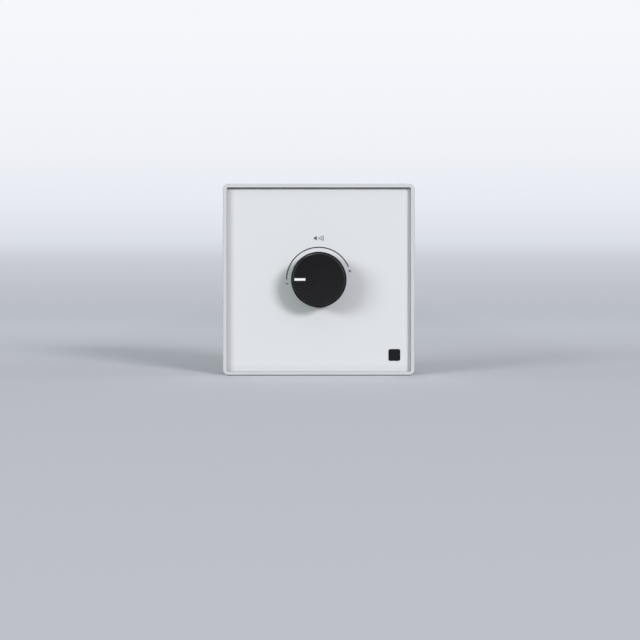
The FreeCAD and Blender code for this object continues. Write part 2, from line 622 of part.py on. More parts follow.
# Bushing: a die-cast plate with a threaded neck through the chassis and a key beside it.
bushing = start_body("pot_bushing")
outline = start_sketch(bushing, "XY_Plane")
bore = "shaft_diameter / 2 + shaft_fit"
step = "flange_diameter / 2 - flange_step_width"
draw_polygon(outline, [(bore, "-bushing_length"), ("bushing_diameter / 2", "-bushing_length"),
                       ("bushing_diameter / 2", "0"), (step, "0"), (step, "flange_step_depth"),
                       ("flange_diameter / 2", "flange_step_depth"),
                       ("flange_diameter / 2", "flange_thickness"), (bore, "flange_thickness")])
turn(bushing, outline)
outline = front_sketch(bushing, "-flange_step_depth / 2")
draw_rectangle(outline, "key_width", "key_thickness", up="key_radius")
pad(bushing, outline, "key_length + flange_step_depth / 2")

# Lock washer: a spring washer with teeth round its hole, between the chassis and the nut.
washer = start_body("bushing_lock_washer")
outline = front_sketch(washer, "sheet_thickness")
washer_hole = "bushing_diameter + 2 * thread_clearance"
draw_circle(outline, "washer_diameter")
draw_circle(outline, washer_hole)
pad(washer, outline, "washer_thickness")
outline = front_sketch(washer, "sheet_thickness")
draw_rectangle(outline, "washer_tooth", "2 * washer_tooth", up=f"({washer_hole}) / 2")
notch = pocket(washer, outline, "washer_thickness")
repeat_round(washer, [notch], 8)

# Nut: holds the bushing to the chassis.
nut = start_body("bushing_nut")
outline = front_sketch(nut, NUT_BACK)
draw_polygon(outline, [(f"nut_width / 2 / cos(30) * cos({60 * corner})",
                        f"nut_width / 2 / cos(30) * sin({60 * corner})") for corner in range(6)])
draw_circle(outline, "bushing_diameter + 2 * thread_clearance")
pad(nut, outline, "nut_thickness")

# Can: a drawn cup over the rotor, with tabs folded over the flange and two stops pressed inwards.
can = start_body("pot_can")
outline = start_sketch(can, "XY_Plane")
draw_polygon(outline, [("0", "can_depth - can_wall"), (CAN_INSIDE, "can_depth - can_wall"),
                       (CAN_INSIDE, "flange_step_depth"), (CAN_OUTSIDE, "flange_step_depth"),
                       (CAN_OUTSIDE, "can_depth"), ("0", "can_depth")])
turn(can, outline)
outline = front_sketch(can, "-flange_step_depth")
tab_middle = f"({TAB_INSIDE} + {CAN_INSIDE} + can_wall / 2) / 2"
tab_reach = f"{CAN_INSIDE} + can_wall / 2 - {TAB_INSIDE}"
draw_rectangle(outline, tab_reach, "tab_width", across=tab_middle)
tab = pad(can, outline, "can_wall")
repeat_round(can, [tab], 4, angle="-180")
outline = front_sketch(can, f"-({WAFER_BACK} + tongue_clearance)")
slot_height = f"{CAN_OUTSIDE} - {CAN_INSIDE} / 2"
draw_rectangle(outline, "tongue_width + 2 * tongue_clearance", slot_height,
               up=f"-({CAN_OUTSIDE} + {CAN_INSIDE} / 2) / 2")
pocket(can, outline, f"{WAFER_BACK} + tongue_clearance")
for side in SIDES:
    section = start_sketch(can, "YZ_Plane")
    turn_sketch(section, (side, 0, 0), STOP_TURN)
    draw_polygon(section, [(ROTOR_FACE, "stop_reach"), (ROTOR_BACK, "stop_reach"),
                           (ROTOR_BACK, f"{CAN_INSIDE} + can_wall / 2"),
                           (ROTOR_FACE, f"{CAN_INSIDE} + can_wall / 2")])
    turn(can, section, axis="H_Axis", angle="stop_angle", through_middle=True)

# Wafer: a laminate disc with a tongue for the terminals.
wafer = start_body("track_wafer")
wafer_diameter = f"2 * ({CAN_INSIDE} - wafer_clearance)"
outline = front_sketch(wafer, f"-{WAFER_BACK}")
draw_circle(outline, wafer_diameter)
pad(wafer, outline, "wafer_thickness")
outline = front_sketch(wafer, f"-{WAFER_BACK}")
draw_rectangle(outline, "tongue_width", "tongue_reach / 2", up="-tongue_reach * 3 / 4")
pad(wafer, outline, "wafer_thickness")
outline = front_sketch(wafer, f"-{WAFER_BACK}")
draw_circle(outline, "wafer_hole_diameter")
for way in WAYS:
    draw_circle(outline, "rivet_diameter + 2 * rotor_fit", f"{way} * terminal_pitch", f"-{RIVET_DROP}")
pocket(wafer, outline, "wafer_thickness")

# Tracks: the carbon track and the collector ring, printed on the back of the wafer.
tracks = start_body("resistance_tracks")
section = start_sketch(tracks, "YZ_Plane")
track_middle = f"{WAFER_BACK} + track_thickness / 2"
draw_rectangle(section, "track_thickness", "track_width", track_middle, "track_radius")
turn(tracks, section, axis="H_Axis", angle="track_angle", through_middle=True)
section = start_sketch(tracks, "YZ_Plane")
draw_rectangle(section, "track_thickness", "collector_width", track_middle, "collector_radius")
turn(tracks, section, axis="H_Axis")

# Terminals: three strips riveted to the tongue, each bent back into the circuit board.
terminals = start_body("pot_terminals")
outline = front_sketch(terminals, f"-{WAFER_BACK}")
draw_rectangle(outline, "terminal_width", "terminal_length", "-terminal_pitch",
               f"-{TERMINAL_BEND} + terminal_length / 2")
draw_circle(outline, "rivet_diameter + 2 * rotor_fit", "-terminal_pitch", f"-{RIVET_DROP}")
strip = pad(terminals, outline, "terminal_thickness", back=True)
outline = front_sketch(terminals, f"-{WAFER_BACK}")
draw_rectangle(outline, "terminal_pin_width", "terminal_thickness", "-terminal_pitch", f"-{PIN_DROP}")
leg = pad(terminals, outline, f"{BOARD_BACK} + pin_tail - {WAFER_BACK}", back=True)
repeat_row(terminals, [strip, leg], "terminal_pitch", len(WAYS))

# Rivets: fix the terminals to the wafer.
rivets = start_body("terminal_rivets")
rivet_back = f"({WAFER_BACK} + terminal_thickness)"
rivet_parts = []
for diameter, back, length in (
        ("rivet_head_diameter", "flange_thickness", "rivet_head_thickness"),
        ("rivet_diameter", rivet_back, f"{rivet_back} - flange_thickness"),
        ("rivet_head_diameter", f"({rivet_back} + rivet_head_thickness)", "rivet_head_thickness")):
    outline = front_sketch(rivets, f"-{back}")
    draw_circle(outline, diameter, "-terminal_pitch", f"-{RIVET_DROP}")
    rivet_parts.append(pad(rivets, outline, length))
repeat_row(rivets, rivet_parts, "terminal_pitch", len(WAYS))

# Circuit board: carries the pot's terminals, the header and a few chips.
board = start_body("circuit_board")
board_width = f"({COVER_INSIDE} - 2 * board_clearance)"
outline = front_sketch(board, f"-{BOARD_BACK}")
draw_rectangle(outline, board_width, board_width)
pad(board, outline, "board_thickness")
outline = front_sketch(board, f"-{BOARD_BACK}")
notch = f"2 * ({board_width} / 2 - {POST_NOTCH})"
for side in SIDES:
    for rise in SIDES:
        draw_rectangle(outline, notch, notch, f"{side} * {board_width} / 2", f"{rise} * {board_width} / 2")
pocket(board, outline, "board_thickness")
outline = front_sketch(board, f"-{BOARD_BACK}")
for way in WAYS:
    draw_circle(outline, "lead_hole_diameter", f"{way} * terminal_pitch", f"-{PIN_DROP}")
    draw_circle(outline, "lead_hole_diameter", f"{way} * way_pitch", "header_height")
for side in SIDES:
    draw_circle(outline, "board_screw_diameter + 2 * screw_clearance", f"{side} * board_screw_spacing / 2")
pocket(board, outline, "board_thickness")

# Chips: resistors and capacitors soldered to the back of the board.
resistors = start_body("chip_resistors")
outline = front_sketch(resistors, f"-{BOARD_BACK}")
draw_rectangle(outline, "resistor_length", "resistor_width", "-resistor_pitch", "-resistor_drop")
chip = pad(resistors, outline, "resistor_thickness", back=True)
repeat_row(resistors, [chip], "resistor_pitch", 3)
capacitors = start_body("filter_capacitors")
outline = front_sketch(capacitors, f"-{BOARD_BACK}")
draw_rectangle(outline, "capacitor_length", "capacitor_width", "-capacitor_pitch / 2", "-capacitor_drop")
chip = pad(capacitors, outline, "capacitor_thickness", back=True)
repeat_row(capacitors, [chip], "capacitor_pitch", 2)

# Rear cover: a moulded box whose corner posts take the cover screws from the front.
cover = start_body("rear_cover")
outline = front_sketch(cover, "0")
draw_rounded_rectangle(outline, "cover_width", "cover_width", "cover_corner_radius")
pad(cover, outline, "cover_depth", back=True)
outline = front_sketch(cover, "0")
draw_rounded_rectangle(outline, COVER_INSIDE, COVER_INSIDE, "cover_corner_radius / 2")
pocket(cover, outline, COVER_FLOOR, back=True)
outline = front_sketch(cover, "0")
for side in SIDES:
    for rise in SIDES:
        draw_circle(outline, "post_diameter", f"{side} * {POST_OFFSET}", f"{rise} * {POST_OFFSET}")
pad(cover, outline, COVER_FLOOR, back=True)
outline = front_sketch(cover, f"-{BOARD_BACK}")
for side in SIDES:
    draw_circle(outline, "board_boss_diameter", f"{side} * board_screw_spacing / 2")
pad(cover, outline, f"{COVER_FLOOR} - {BOARD_BACK}", back=True)
outline = front_sketch(cover, "0")
for side in SIDES:
    for rise in SIDES:
        draw_circle(outline, "cover_screw_diameter + 2 * thread_clearance",
                    f"{side} * {POST_OFFSET}", f"{rise} * {POST_OFFSET}")
pocket(cover, outline, "cover_screw_length", back=True)
outline = front_sketch(cover, f"-{BOARD_BACK}")
for side in SIDES:
    draw_circle(outline, "board_screw_diameter + 2 * thread_clearance", f"{side} * board_screw_spacing / 2")
pocket(cover, outline, "board_screw_length - board_thickness + screw_clearance", back=True)
outline = front_sketch(cover, "-cover_depth")
draw_rectangle(outline, f"{HEADER_WIDTH} + 2 * header_clearance",
               "header_thickness + 2 * header_clearance", up="header_height")
pocket(cover, outline, "cover_wall")
cover_back = value("cover_depth")
cover_reach = value(COVER_INSIDE) / 2
round_edges(cover, "cover_edge_radius",
            lambda box: lies_at(box.YMin, box.YMax, cover_back)
            and max(abs(box.XMin), abs(box.XMax), abs(box.ZMin), abs(box.ZMax)) > cover_reach)


def build_screw(body, seat, name, head_name, across, up):
    """Build a pan-head screw that enters the wall from its seat; seat is a height."""
    outline = front_sketch(body, seat)
    draw_circle(outline, f"{head_name}_diameter", across, up)
    head = pad(body, outline, f"{head_name}_thickness")
    outline = front_sketch(body, seat)
    draw_circle(outline, f"{name}_diameter", across, up)
    shank = pad(body, outline, f"{name}_length", back=True)
    outline = front_sketch(body, f"{seat} + {head_name}_thickness - recess_depth")
    draw_plus(outline, f"{head_name}_diameter * recess_reach / 2", "recess_width / 2", across, up)
    recess = pocket(body, outline, "recess_depth")
    return [head, shank, recess]


# Screws: four hold the rear cover to the chassis, and two hold the board to the cover.
cover_screws = start_body("cover_screws")
features = build_screw(cover_screws, "sheet_thickness", "cover_screw", "cover_head",
                       POST_OFFSET, POST_OFFSET)
repeat_round(cover_screws, features, 4)
board_screws = start_body("board_screws")
features = build_screw(board_screws, f"-{BOARD_FRONT}", "board_screw", "board_head",
                       "-board_screw_spacing / 2", "0")
repeat_row(board_screws, features, "board_screw_spacing", 2)

# Header: an open-ended shroud on the board, with three square pins.
header = start_body("terminal_header")
outline = front_sketch(header, f"-{HEADER_BACK}")
draw_rectangle(outline, HEADER_WIDTH, "header_thickness", up="header_height")
pad(header, outline, "header_depth")
outline = front_sketch(header, f"-{HEADER_BACK}")
draw_rectangle(outline, "nose_width + 2 * plug_clearance", "nose_thickness + 2 * plug_clearance",
               up="header_height")
pocket(header, outline, "header_depth - header_floor")
outline = front_sketch(header, f"-{HEADER_FLOOR}")
for way in WAYS:
    draw_rectangle(outline, "pin_size + 2 * rotor_fit", "pin_size + 2 * rotor_fit",
                   f"{way} * way_pitch", "header_height")
pocket(header, outline, "header_floor")
pins = start_body("header_pins")
outline = front_sketch(pins, f"-({BOARD_BACK} + pin_reach)")
draw_rectangle(outline, "pin_size", "pin_size", "-way_pitch", "header_height")
pin = pad(pins, outline, "pin_reach + board_thickness + pin_tail")
repeat_row(pins, [pin], "way_pitch", len(WAYS))


def draw_flatted_circle(sketch, diameter, flat):
    """Draw a circle cut off by a flat above its centre."""
    radius = value(diameter) / 2
    rise = value(flat)
    half = (radius ** 2 - rise ** 2) ** 0.5
    left, right = FreeCAD.Vector(-half, rise, 0), FreeCAD.Vector(half, rise, 0)
    arc = sketch.addGeometry(Part.Arc(left, FreeCAD.Vector(0, -radius, 0), right))
    line = sketch.addGeometry(Part.LineSegment(right, left))
    drawn = sketch.Geometry[arc]
    start, end = (1, 2) if drawn.StartPoint.x < 0 else (2, 1)
    sketch.addConstraint(Sketcher.Constraint("Coincident", arc, end, line, 1))
    sketch.addConstraint(Sketcher.Constraint("Coincident", arc, start, line, 2))
    sketch.addConstraint(Sketcher.Constraint("Coincident", arc, 3, -1, 1))
    sketch.addConstraint(Sketcher.Constraint("Horizontal", line))
    constrain(sketch, "Diameter", arc, formula=diameter)
    constrain(sketch, "DistanceY", -1, 1, line, 1, formula=flat)


# Shaft: a turned rod with a groove for the circlip and a flat at each end.
shaft = start_body("pot_shaft")
outline = start_sketch(shaft, "XY_Plane")
shaft_radius, groove_radius = "shaft_diameter / 2", f"{GROOVE_DIAMETER} / 2"
draw_polygon(outline, [("0", f"-{SHAFT_FRONT}"), (shaft_radius, f"-{SHAFT_FRONT}"),
                       (shaft_radius, f"-{GROOVE_FRONT}"), (groove_radius, f"-{GROOVE_FRONT}"),
                       (groove_radius, f"-{GROOVE_BACK}"), (shaft_radius, f"-{GROOVE_BACK}"),
                       (shaft_radius, SHAFT_BACK), ("0", SHAFT_BACK)])
turn(shaft, outline)
outline = front_sketch(shaft, FLAT_START)
draw_rectangle(outline, "2 * shaft_diameter", "shaft_flat_depth",
               up="shaft_diameter / 2 - shaft_flat_depth / 2")
pocket(shaft, outline, KNOB_FRONT)
outline = front_sketch(shaft, f"-{HUB_FRONT}")
draw_rectangle(outline, "2 * shaft_diameter", "tang_flat_depth",
               up="shaft_diameter / 2 - tang_flat_depth / 2")
pocket(shaft, outline, SHAFT_BACK, back=True)

# Circlip: an open ring in the shaft's groove, in front of the bushing.
circlip = start_body("shaft_circlip")
outline = front_sketch(circlip, f"{GROOVE_BACK} + shaft_fit")
circlip_inside = f"({GROOVE_DIAMETER} + 2 * rotor_fit)"
draw_circle(outline, f"{circlip_inside} + 2 * circlip_width")
draw_circle(outline, circlip_inside)
pad(circlip, outline, "circlip_thickness")
outline = front_sketch(circlip, f"{GROOVE_BACK} + shaft_fit")
draw_rectangle(outline, f"{circlip_inside} * 3 / 4", f"{circlip_inside} / 2 + circlip_width",
               up=f"-({circlip_inside} / 2 + circlip_width) / 2")
pocket(circlip, outline, "circlip_thickness")


def turn_to_rest(body):
    """Turn a piece from the middle of the knob's travel back to its start."""
    body.Placement = FreeCAD.Placement(FreeCAD.Vector(0, 0, 0),
                                       FreeCAD.Rotation(FreeCAD.Vector(0, -1, 0), value("turn_angle / 2")))
    bind(body, "Placement.Rotation.Angle", "turn_angle / 2")


# Rotor: a moulded disc on the shaft's tang, with a hub in the wafer and a lug between the stops.
rotor = start_body("rotor_disc")
outline = front_sketch(rotor, f"-{ROTOR_BACK}")
draw_circle(outline, "rotor_diameter")
pad(rotor, outline, "rotor_thickness")
outline = front_sketch(rotor, f"-{ROTOR_FACE}")
draw_circle(outline, "wafer_hole_diameter - 2 * hub_clearance")
pad(rotor, outline, f"{ROTOR_FACE} - {HUB_FRONT}")
section = start_sketch(rotor, "YZ_Plane")
draw_polygon(section, [(ROTOR_FACE, "rotor_diameter / 4"), (ROTOR_BACK, "rotor_diameter / 4"),
                       (ROTOR_BACK, "lug_reach"), (ROTOR_FACE, "lug_reach")])
turn(rotor, section, axis="H_Axis", angle="lug_angle", through_middle=True)
outline = front_sketch(rotor, f"-{ROTOR_BACK}")
turn_sketch(outline, (0, 0, -1), "turn_angle / 2", f"-{ROTOR_BACK}")
draw_flatted_circle(outline, "shaft_diameter + 2 * rotor_fit",
                    "shaft_diameter / 2 - tang_flat_depth + rotor_fit")
pocket(rotor, outline, SHAFT_BACK)
turn_to_rest(rotor)

# Wiper: a spring sheet on the rotor whose two arms reach forward to the track and the collector.
wiper = start_body("wiper")
sheet_front = f"({ROTOR_FACE} - wiper_thickness)"
tip_back = f"({TRACK_BACK} + wiper_gap + wiper_thickness)"
arm_start = "(-wiper_arm_length / 2)"
base_low = "(collector_radius - wiper_arm_width / 2)"
base_high = "(track_radius + wiper_arm_width / 2)"
outline = front_sketch(wiper, f"-{ROTOR_FACE}")
draw_rectangle(outline, "wiper_arm_length / 3", f"{base_high} - {base_low}",
               f"{arm_start} - wiper_arm_length / 12", f"({base_high} + {base_low}) / 2")
pad(wiper, outline, "wiper_thickness")
for radius in ("track_radius", "collector_radius"):
    outline = start_sketch(wiper, "XY_Plane", radius)
    draw_polygon(outline, [(arm_start, ROTOR_FACE), (arm_start, sheet_front),
                           ("wiper_arm_length / 3", f"{tip_back} - wiper_thickness"),
                           ("wiper_arm_length / 2", f"{tip_back} - wiper_thickness / 2"),
                           ("wiper_arm_length / 2", f"{tip_back} + wiper_thickness / 2"),
                           ("wiper_arm_length / 3", tip_back)])
    pad(wiper, outline, "wiper_arm_width", through_middle=True)
turn_to_rest(wiper)

# Knob: a hollow moulded knob with a split boss, its pointer let into the front at nine o'clock.
knob = start_body("knob_body")
outline = start_sketch(knob, "XY_Plane")
base_radius, front_radius = "knob_base_diameter / 2", KNOB_FRONT_RADIUS
draw_polygon(outline, [("0", f"-{BOSS_END}"), ("boss_diameter / 2", f"-{BOSS_END}"),
                       ("boss_diameter / 2", f"-{KNOB_ROOF}"),
                       (f"{front_radius} - knob_wall", f"-{KNOB_ROOF}"),
                       (f"{base_radius} - knob_wall", f"-{KNOB_BASE}"),
                       (base_radius, f"-{KNOB_BASE}"), (front_radius, f"-{KNOB_FRONT}"),
                       ("0", f"-{KNOB_FRONT}")])
turn(knob, outline)
outline = front_sketch(knob, BOSS_END)
draw_flatted_circle(outline, "shaft_diameter + 2 * rotor_fit",
                    "shaft_diameter / 2 - shaft_flat_depth + rotor_fit")
pocket(knob, outline, f"{BORE_END} - {BOSS_END}")
outline = front_sketch(knob, BOSS_END)
draw_rectangle(outline, "boss_slit_width", "boss_diameter + clip_thickness")
pocket(knob, outline, "boss_slit_length")
knob_front = -value(KNOB_FRONT)
round_edges(knob, "knob_edge_radius", lambda box: lies_at(box.YMin, box.YMax, knob_front))
outline = front_sketch(knob, f"{KNOB_FRONT} - pointer_depth")
pointer_middle = f"(-{POINTER_OUTSIDE} + pointer_length / 2)"
draw_rectangle(outline, "pointer_length", "pointer_width", pointer_middle)
pocket(knob, outline, "pointer_depth")
pointer = start_body("knob_pointer")
outline = front_sketch(pointer, f"{KNOB_FRONT} - pointer_depth")
draw_rectangle(outline, "pointer_length", "pointer_width", pointer_middle)
pad(pointer, outline, "pointer_depth")

# Spring ring: presses the two halves of the split boss on to the shaft.
ring = start_body("knob_spring_clip")
outline = front_sketch(ring, f"{BOSS_END} + clip_setback")
ring_inside = "(boss_diameter + 2 * rotor_fit)"
draw_circle(outline, f"{ring_inside} + 2 * clip_thickness")
draw_circle(outline, ring_inside)
pad(ring, outline, "clip_width")
outline = front_sketch(ring, f"{BOSS_END} + clip_setback")
draw_rectangle(outline, "4 * clip_thickness", "clip_slit_width", across="boss_diameter / 2")
pocket(ring, outline, "clip_width")


def way_rectangles(sketch, width, height, up):
    """Draw one rectangle for each of the plug's ways."""
    for way in WAYS:
        draw_rectangle(sketch, width, height, f"{way} * way_pitch", up)


# Plug: a moulded block with a nose that enters the header and a pocket for each wire clamp.
plug = start_body("plug_housing")
outline = front_sketch(plug, f"-{BLOCK_BACK}")
block_height = "(block_top + block_bottom)"
draw_rectangle(outline, BLOCK_WIDTH, block_height, up="header_height + (block_top - block_bottom) / 2")
pad(plug, outline, "block_depth")
outline = front_sketch(plug, f"-{BLOCK_FRONT}")
draw_rectangle(outline, "nose_width", "nose_thickness", up="header_height")
pad(plug, outline, f"{BLOCK_FRONT} - {NOSE_END}")
outline = front_sketch(plug, f"-{CAGE_MIDDLE}")
way_rectangles(outline, "contact_size + 2 * contact_clearance",
               "contact_size + 2 * contact_clearance", "header_height")
pocket(plug, outline, f"{CAGE_MIDDLE} - {NOSE_END}")
outline = front_sketch(plug, f"-{CAGE_MIDDLE}")
way_rectangles(outline, "wire_entry_size", "wire_entry_size", "header_height - wire_entry_drop")
pocket(plug, outline, f"{BLOCK_BACK} - {CAGE_MIDDLE}", back=True)
outline = start_sketch(plug, "XY_Plane", "header_height - cage_bottom - cage_gap")
pocket_height = f"({POCKET_TOP} + cage_bottom + cage_gap)"
for way in WAYS:
    draw_rectangle(outline, "cage_width + 2 * contact_clearance", "cage_depth + 2 * cage_gap",
                   f"{way} * way_pitch", CAGE_MIDDLE)
pocket(plug, outline, pocket_height)
outline = start_sketch(plug, "XY_Plane", f"header_height + {POCKET_TOP}")
for way in WAYS:
    draw_circle(outline, "clamp_screw_diameter + 2 * clamp_head_gap", f"{way} * way_pitch", CAGE_MIDDLE)
pocket(plug, outline, "ledge_thickness")
outline = start_sketch(plug, "XY_Plane", f"header_height + {LEDGE_TOP}")
for way in WAYS:
    draw_circle(outline, "clamp_head_diameter + clamp_head_gap", f"{way} * way_pitch", CAGE_MIDDLE)
pocket(plug, outline, f"block_top - {LEDGE_TOP}")

# Contacts: square spring tubes over the header's pins, each with a bar under its clamp screw.
contacts = start_body("plug_contacts")
outline = front_sketch(contacts, f"-{CONTACT_BACK}")
contact_bore = "(contact_size - 2 * contact_wall)"
draw_rectangle(outline, "contact_size", "contact_size", "-way_pitch", "header_height")
draw_rectangle(outline, contact_bore, contact_bore, "-way_pitch", "header_height")
tube = pad(contacts, outline, "contact_length")
outline = front_sketch(contacts, f"-{CONTACT_BACK}")
draw_rectangle(outline, "bar_width", "contact_wall", "-way_pitch",
               f"header_height + {BAR_TOP} - contact_wall / 2")
root = pad(contacts, outline, "contact_wall")
outline = front_sketch(contacts, f"-{BAR_BACK}")
draw_rectangle(outline, "bar_width", "bar_thickness", "-way_pitch",
               f"header_height + {BAR_TOP} - bar_thickness / 2")
bar = pad(contacts, outline, f"{BAR_BACK} - {CONTACT_BACK}")
repeat_row(contacts, [tube, root, bar], "way_pitch", len(WAYS))

# Clamps: in each way a captive screw lifts a cage, which presses the wire up against the bar.
for number, way in enumerate(WAYS, start=1):
    across = f"{way} * way_pitch"
    screw = start_body(f"clamp_screw_{number}")
    outline = start_sketch(screw, "XY_Plane", f"header_height + {CLAMP_HEAD}")
    draw_circle(outline, "clamp_head_diameter", across, CAGE_MIDDLE)
    pad(screw, outline, "clamp_head_thickness")
    outline = start_sketch(screw, "XY_Plane", f"header_height + {CLAMP_HEAD}")
    draw_circle(outline, "clamp_screw_diameter", across, CAGE_MIDDLE)
    pad(screw, outline, f"{CLAMP_HEAD} - {BAR_TOP} - cage_gap", back=True)
    outline = start_sketch(screw, "XY_Plane",
                           f"header_height + {CLAMP_HEAD} + clamp_head_thickness - driver_slot_depth")
    draw_rectangle(outline, "2 * clamp_head_diameter", "driver_slot_width", across, CAGE_MIDDLE)
    pocket(screw, outline, "driver_slot_depth")
    cage = start_body(f"wire_cage_{number}")
    outline = front_sketch(cage, f"-({CAGE_MIDDLE} + cage_depth / 2)")
    draw_rectangle(outline, "cage_width", "cage_top + cage_bottom", across,
                   "header_height + (cage_top - cage_bottom) / 2")
    draw_rectangle(outline, "cage_width - 2 * cage_side_wall",
                   "cage_top + cage_bottom - 2 * cage_end_wall", across,
                   "header_height + (cage_top - cage_bottom) / 2")
    pad(cage, outline, "cage_depth")
    outline = start_sketch(cage, "XY_Plane", "header_height")
    draw_circle(outline, "clamp_screw_diameter + 2 * clamp_fit", across, CAGE_MIDDLE)
    pocket(cage, outline, "2 * cage_top")

document.recompute()
faults = [f"{thing.Label}: {thing.State}" for thing in document.Objects
          if "Invalid" in thing.State or "Error" in thing.State]
pieces = [thing for thing in document.Objects if thing.TypeId == "PartDesign::Body"]
faults += [f"{piece.Label}: bad shape" for piece in pieces
           if piece.Shape.isNull() or not piece.Shape.isValid()]
if faults:
    raise SystemExit("\n".join(faults))
os.makedirs("parts", exist_ok=True)
for piece in pieces:
    piece.Shape.exportStep(f"parts/{piece.Label}.step")
    print(piece.Label, len(piece.Shape.Solids), round(piece.Shape.Volume, 3))
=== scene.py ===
import math

import bmesh
import bpy
from mathutils import Matrix, Vector


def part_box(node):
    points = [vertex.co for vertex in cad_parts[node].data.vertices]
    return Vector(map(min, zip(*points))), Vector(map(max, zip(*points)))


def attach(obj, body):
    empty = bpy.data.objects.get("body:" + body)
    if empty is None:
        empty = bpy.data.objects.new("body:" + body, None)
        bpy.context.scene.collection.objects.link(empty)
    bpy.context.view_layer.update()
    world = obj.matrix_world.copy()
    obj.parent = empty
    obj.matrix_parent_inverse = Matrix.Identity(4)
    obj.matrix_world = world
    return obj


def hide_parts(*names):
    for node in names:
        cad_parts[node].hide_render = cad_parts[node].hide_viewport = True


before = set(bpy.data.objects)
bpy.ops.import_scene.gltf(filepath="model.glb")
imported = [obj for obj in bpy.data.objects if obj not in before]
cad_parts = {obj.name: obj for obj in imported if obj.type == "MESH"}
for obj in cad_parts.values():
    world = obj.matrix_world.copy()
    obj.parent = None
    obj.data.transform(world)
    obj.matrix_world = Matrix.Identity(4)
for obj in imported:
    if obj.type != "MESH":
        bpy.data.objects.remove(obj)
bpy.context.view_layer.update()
scene = bpy.context.scene
scene.view_settings.view_transform = "Standard"
MM = 0.001

# Camera: level and square to the face, at the knob's height and just over half a metre away. In the
# photograph's 640 pixels the plate is 191.8 wide and its middle lies above the centre.
PICTURE = 640
PLATE_PIXELS = 191.8
PLATE_COLUMN, PLATE_ROW = 318.8, 279.5
EYE_ROW = 278.0
FOCAL_PIXELS = 1300.0
NEAREST_SEEN = 10 * MM
QUARTER_TURN = math.pi / 2
frame_low, frame_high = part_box("bezel_frame")
pixel = (frame_high.x - frame_low.x) / PLATE_PIXELS
camera = bpy.data.objects.new("camera", bpy.data.cameras.new("camera"))
scene.collection.objects.link(camera)
camera.location = ((PICTURE / 2 - PLATE_COLUMN) * pixel, frame_low.y - FOCAL_PIXELS * pixel,
                   (PLATE_ROW - EYE_ROW) * pixel)
camera.rotation_euler = (QUARTER_TURN, 0, 0)
camera.data.lens = camera.data.sensor_width * FOCAL_PIXELS / PICTURE
camera.data.shift_y = (EYE_ROW - PICTURE / 2) / PICTURE
camera.data.clip_start = NEAREST_SEEN
scene.camera = camera

# Lights: a key box to the right and a wider fill box to the left, far off and a little above the
# plate. One behind reaches the object alone, and a long one overhead draws the line on the knob's
# edge. The pale room round them is brighter on its open side, in front.
LIGHT_DISTANCE, BACK_DISTANCE, EDGE_DISTANCE = 4.0, 2.0, 1.1
ROOM_LIGHT = (0.88, 0.985, 0.97, 1)
ROOM_FRONT, ROOM_BACK, ROOM_TURN = 0.58, 0.05, 0.3
ROOM_SHADES = ((0.0, (0.22, 0.22, 0.235)), (1.0, (0.80, 0.83, 0.88)))
plate_middle = Vector((0, frame_low.y, 0))


def hang_light(name, direction, distance, size, power, colour=(1.0, 1.0, 1.0)):
    """Hang a lamp, so wide and so high, in a direction from the plate, aimed back at it."""
    lamp = bpy.data.lights.new(name, "AREA")
    lamp.shape = "RECTANGLE"
    lamp.size, lamp.size_y = size
    lamp.energy = power
    lamp.color = colour
    box = bpy.data.objects.new(name, lamp)
    scene.collection.objects.link(box)
    towards = Vector(direction).normalized()
    box.location = plate_middle + towards * distance
    box.rotation_euler = towards.to_track_quat("Z", "Y").to_euler()
    box.visible_camera = False
    return box


def add_node(tree, kind, inputs=(), **settings):
    """Add a shader node. An input is a plain value, or another node's output to link."""
    node = tree.nodes.new(f"ShaderNode{kind}")
    for name, setting in settings.items():
        setattr(node, name, setting)
    for socket, value in dict(inputs).items():
        if isinstance(value, bpy.types.NodeSocket):
            tree.links.new(value, node.inputs[socket])
        else:
            node.inputs[socket].default_value = value
    return node


def reckon(tree, operation, *values):
    """Work out a number from plain values and sockets, and return its socket."""
    return add_node(tree, "Math", dict(enumerate(values)), operation=operation).outputs[0]


def grade(tree, value, start=0.0, end=1.0, low=0.0, high=1.0):
    """Turn a value that runs from start to end into one that runs from low to high."""
    return add_node(tree, "MapRange", {"Value": value, "From Min": start, "From Max": end,
                                       "To Min": low, "To Max": high}).outputs[0]


def add_ramp(tree, value, steps):
    """Turn a value from 0 to 1 into the shades of a ramp, each step a grey level or a colour."""
    ramp = add_node(tree, "ValToRGB", {0: value})
    elements = ramp.color_ramp.elements
    elements.remove(elements[1])
    for number, (position, shade) in enumerate(steps):
        step = elements.new(position) if number else elements[0]
        step.position = position
        step.color = (*shade, 1) if isinstance(shade, tuple) else (shade, shade, shade, 1)
    return ramp.outputs["Color"]


def seen_straight(tree):
    """Say whether a ray comes from the camera or from a mirror or glass."""
    path = add_node(tree, "LightPath").outputs
    direct = reckon(tree, "MAXIMUM", path["Is Camera Ray"], path["Is Glossy Ray"])
    return reckon(tree, "MAXIMUM", direct, path["Is Transmission Ray"])


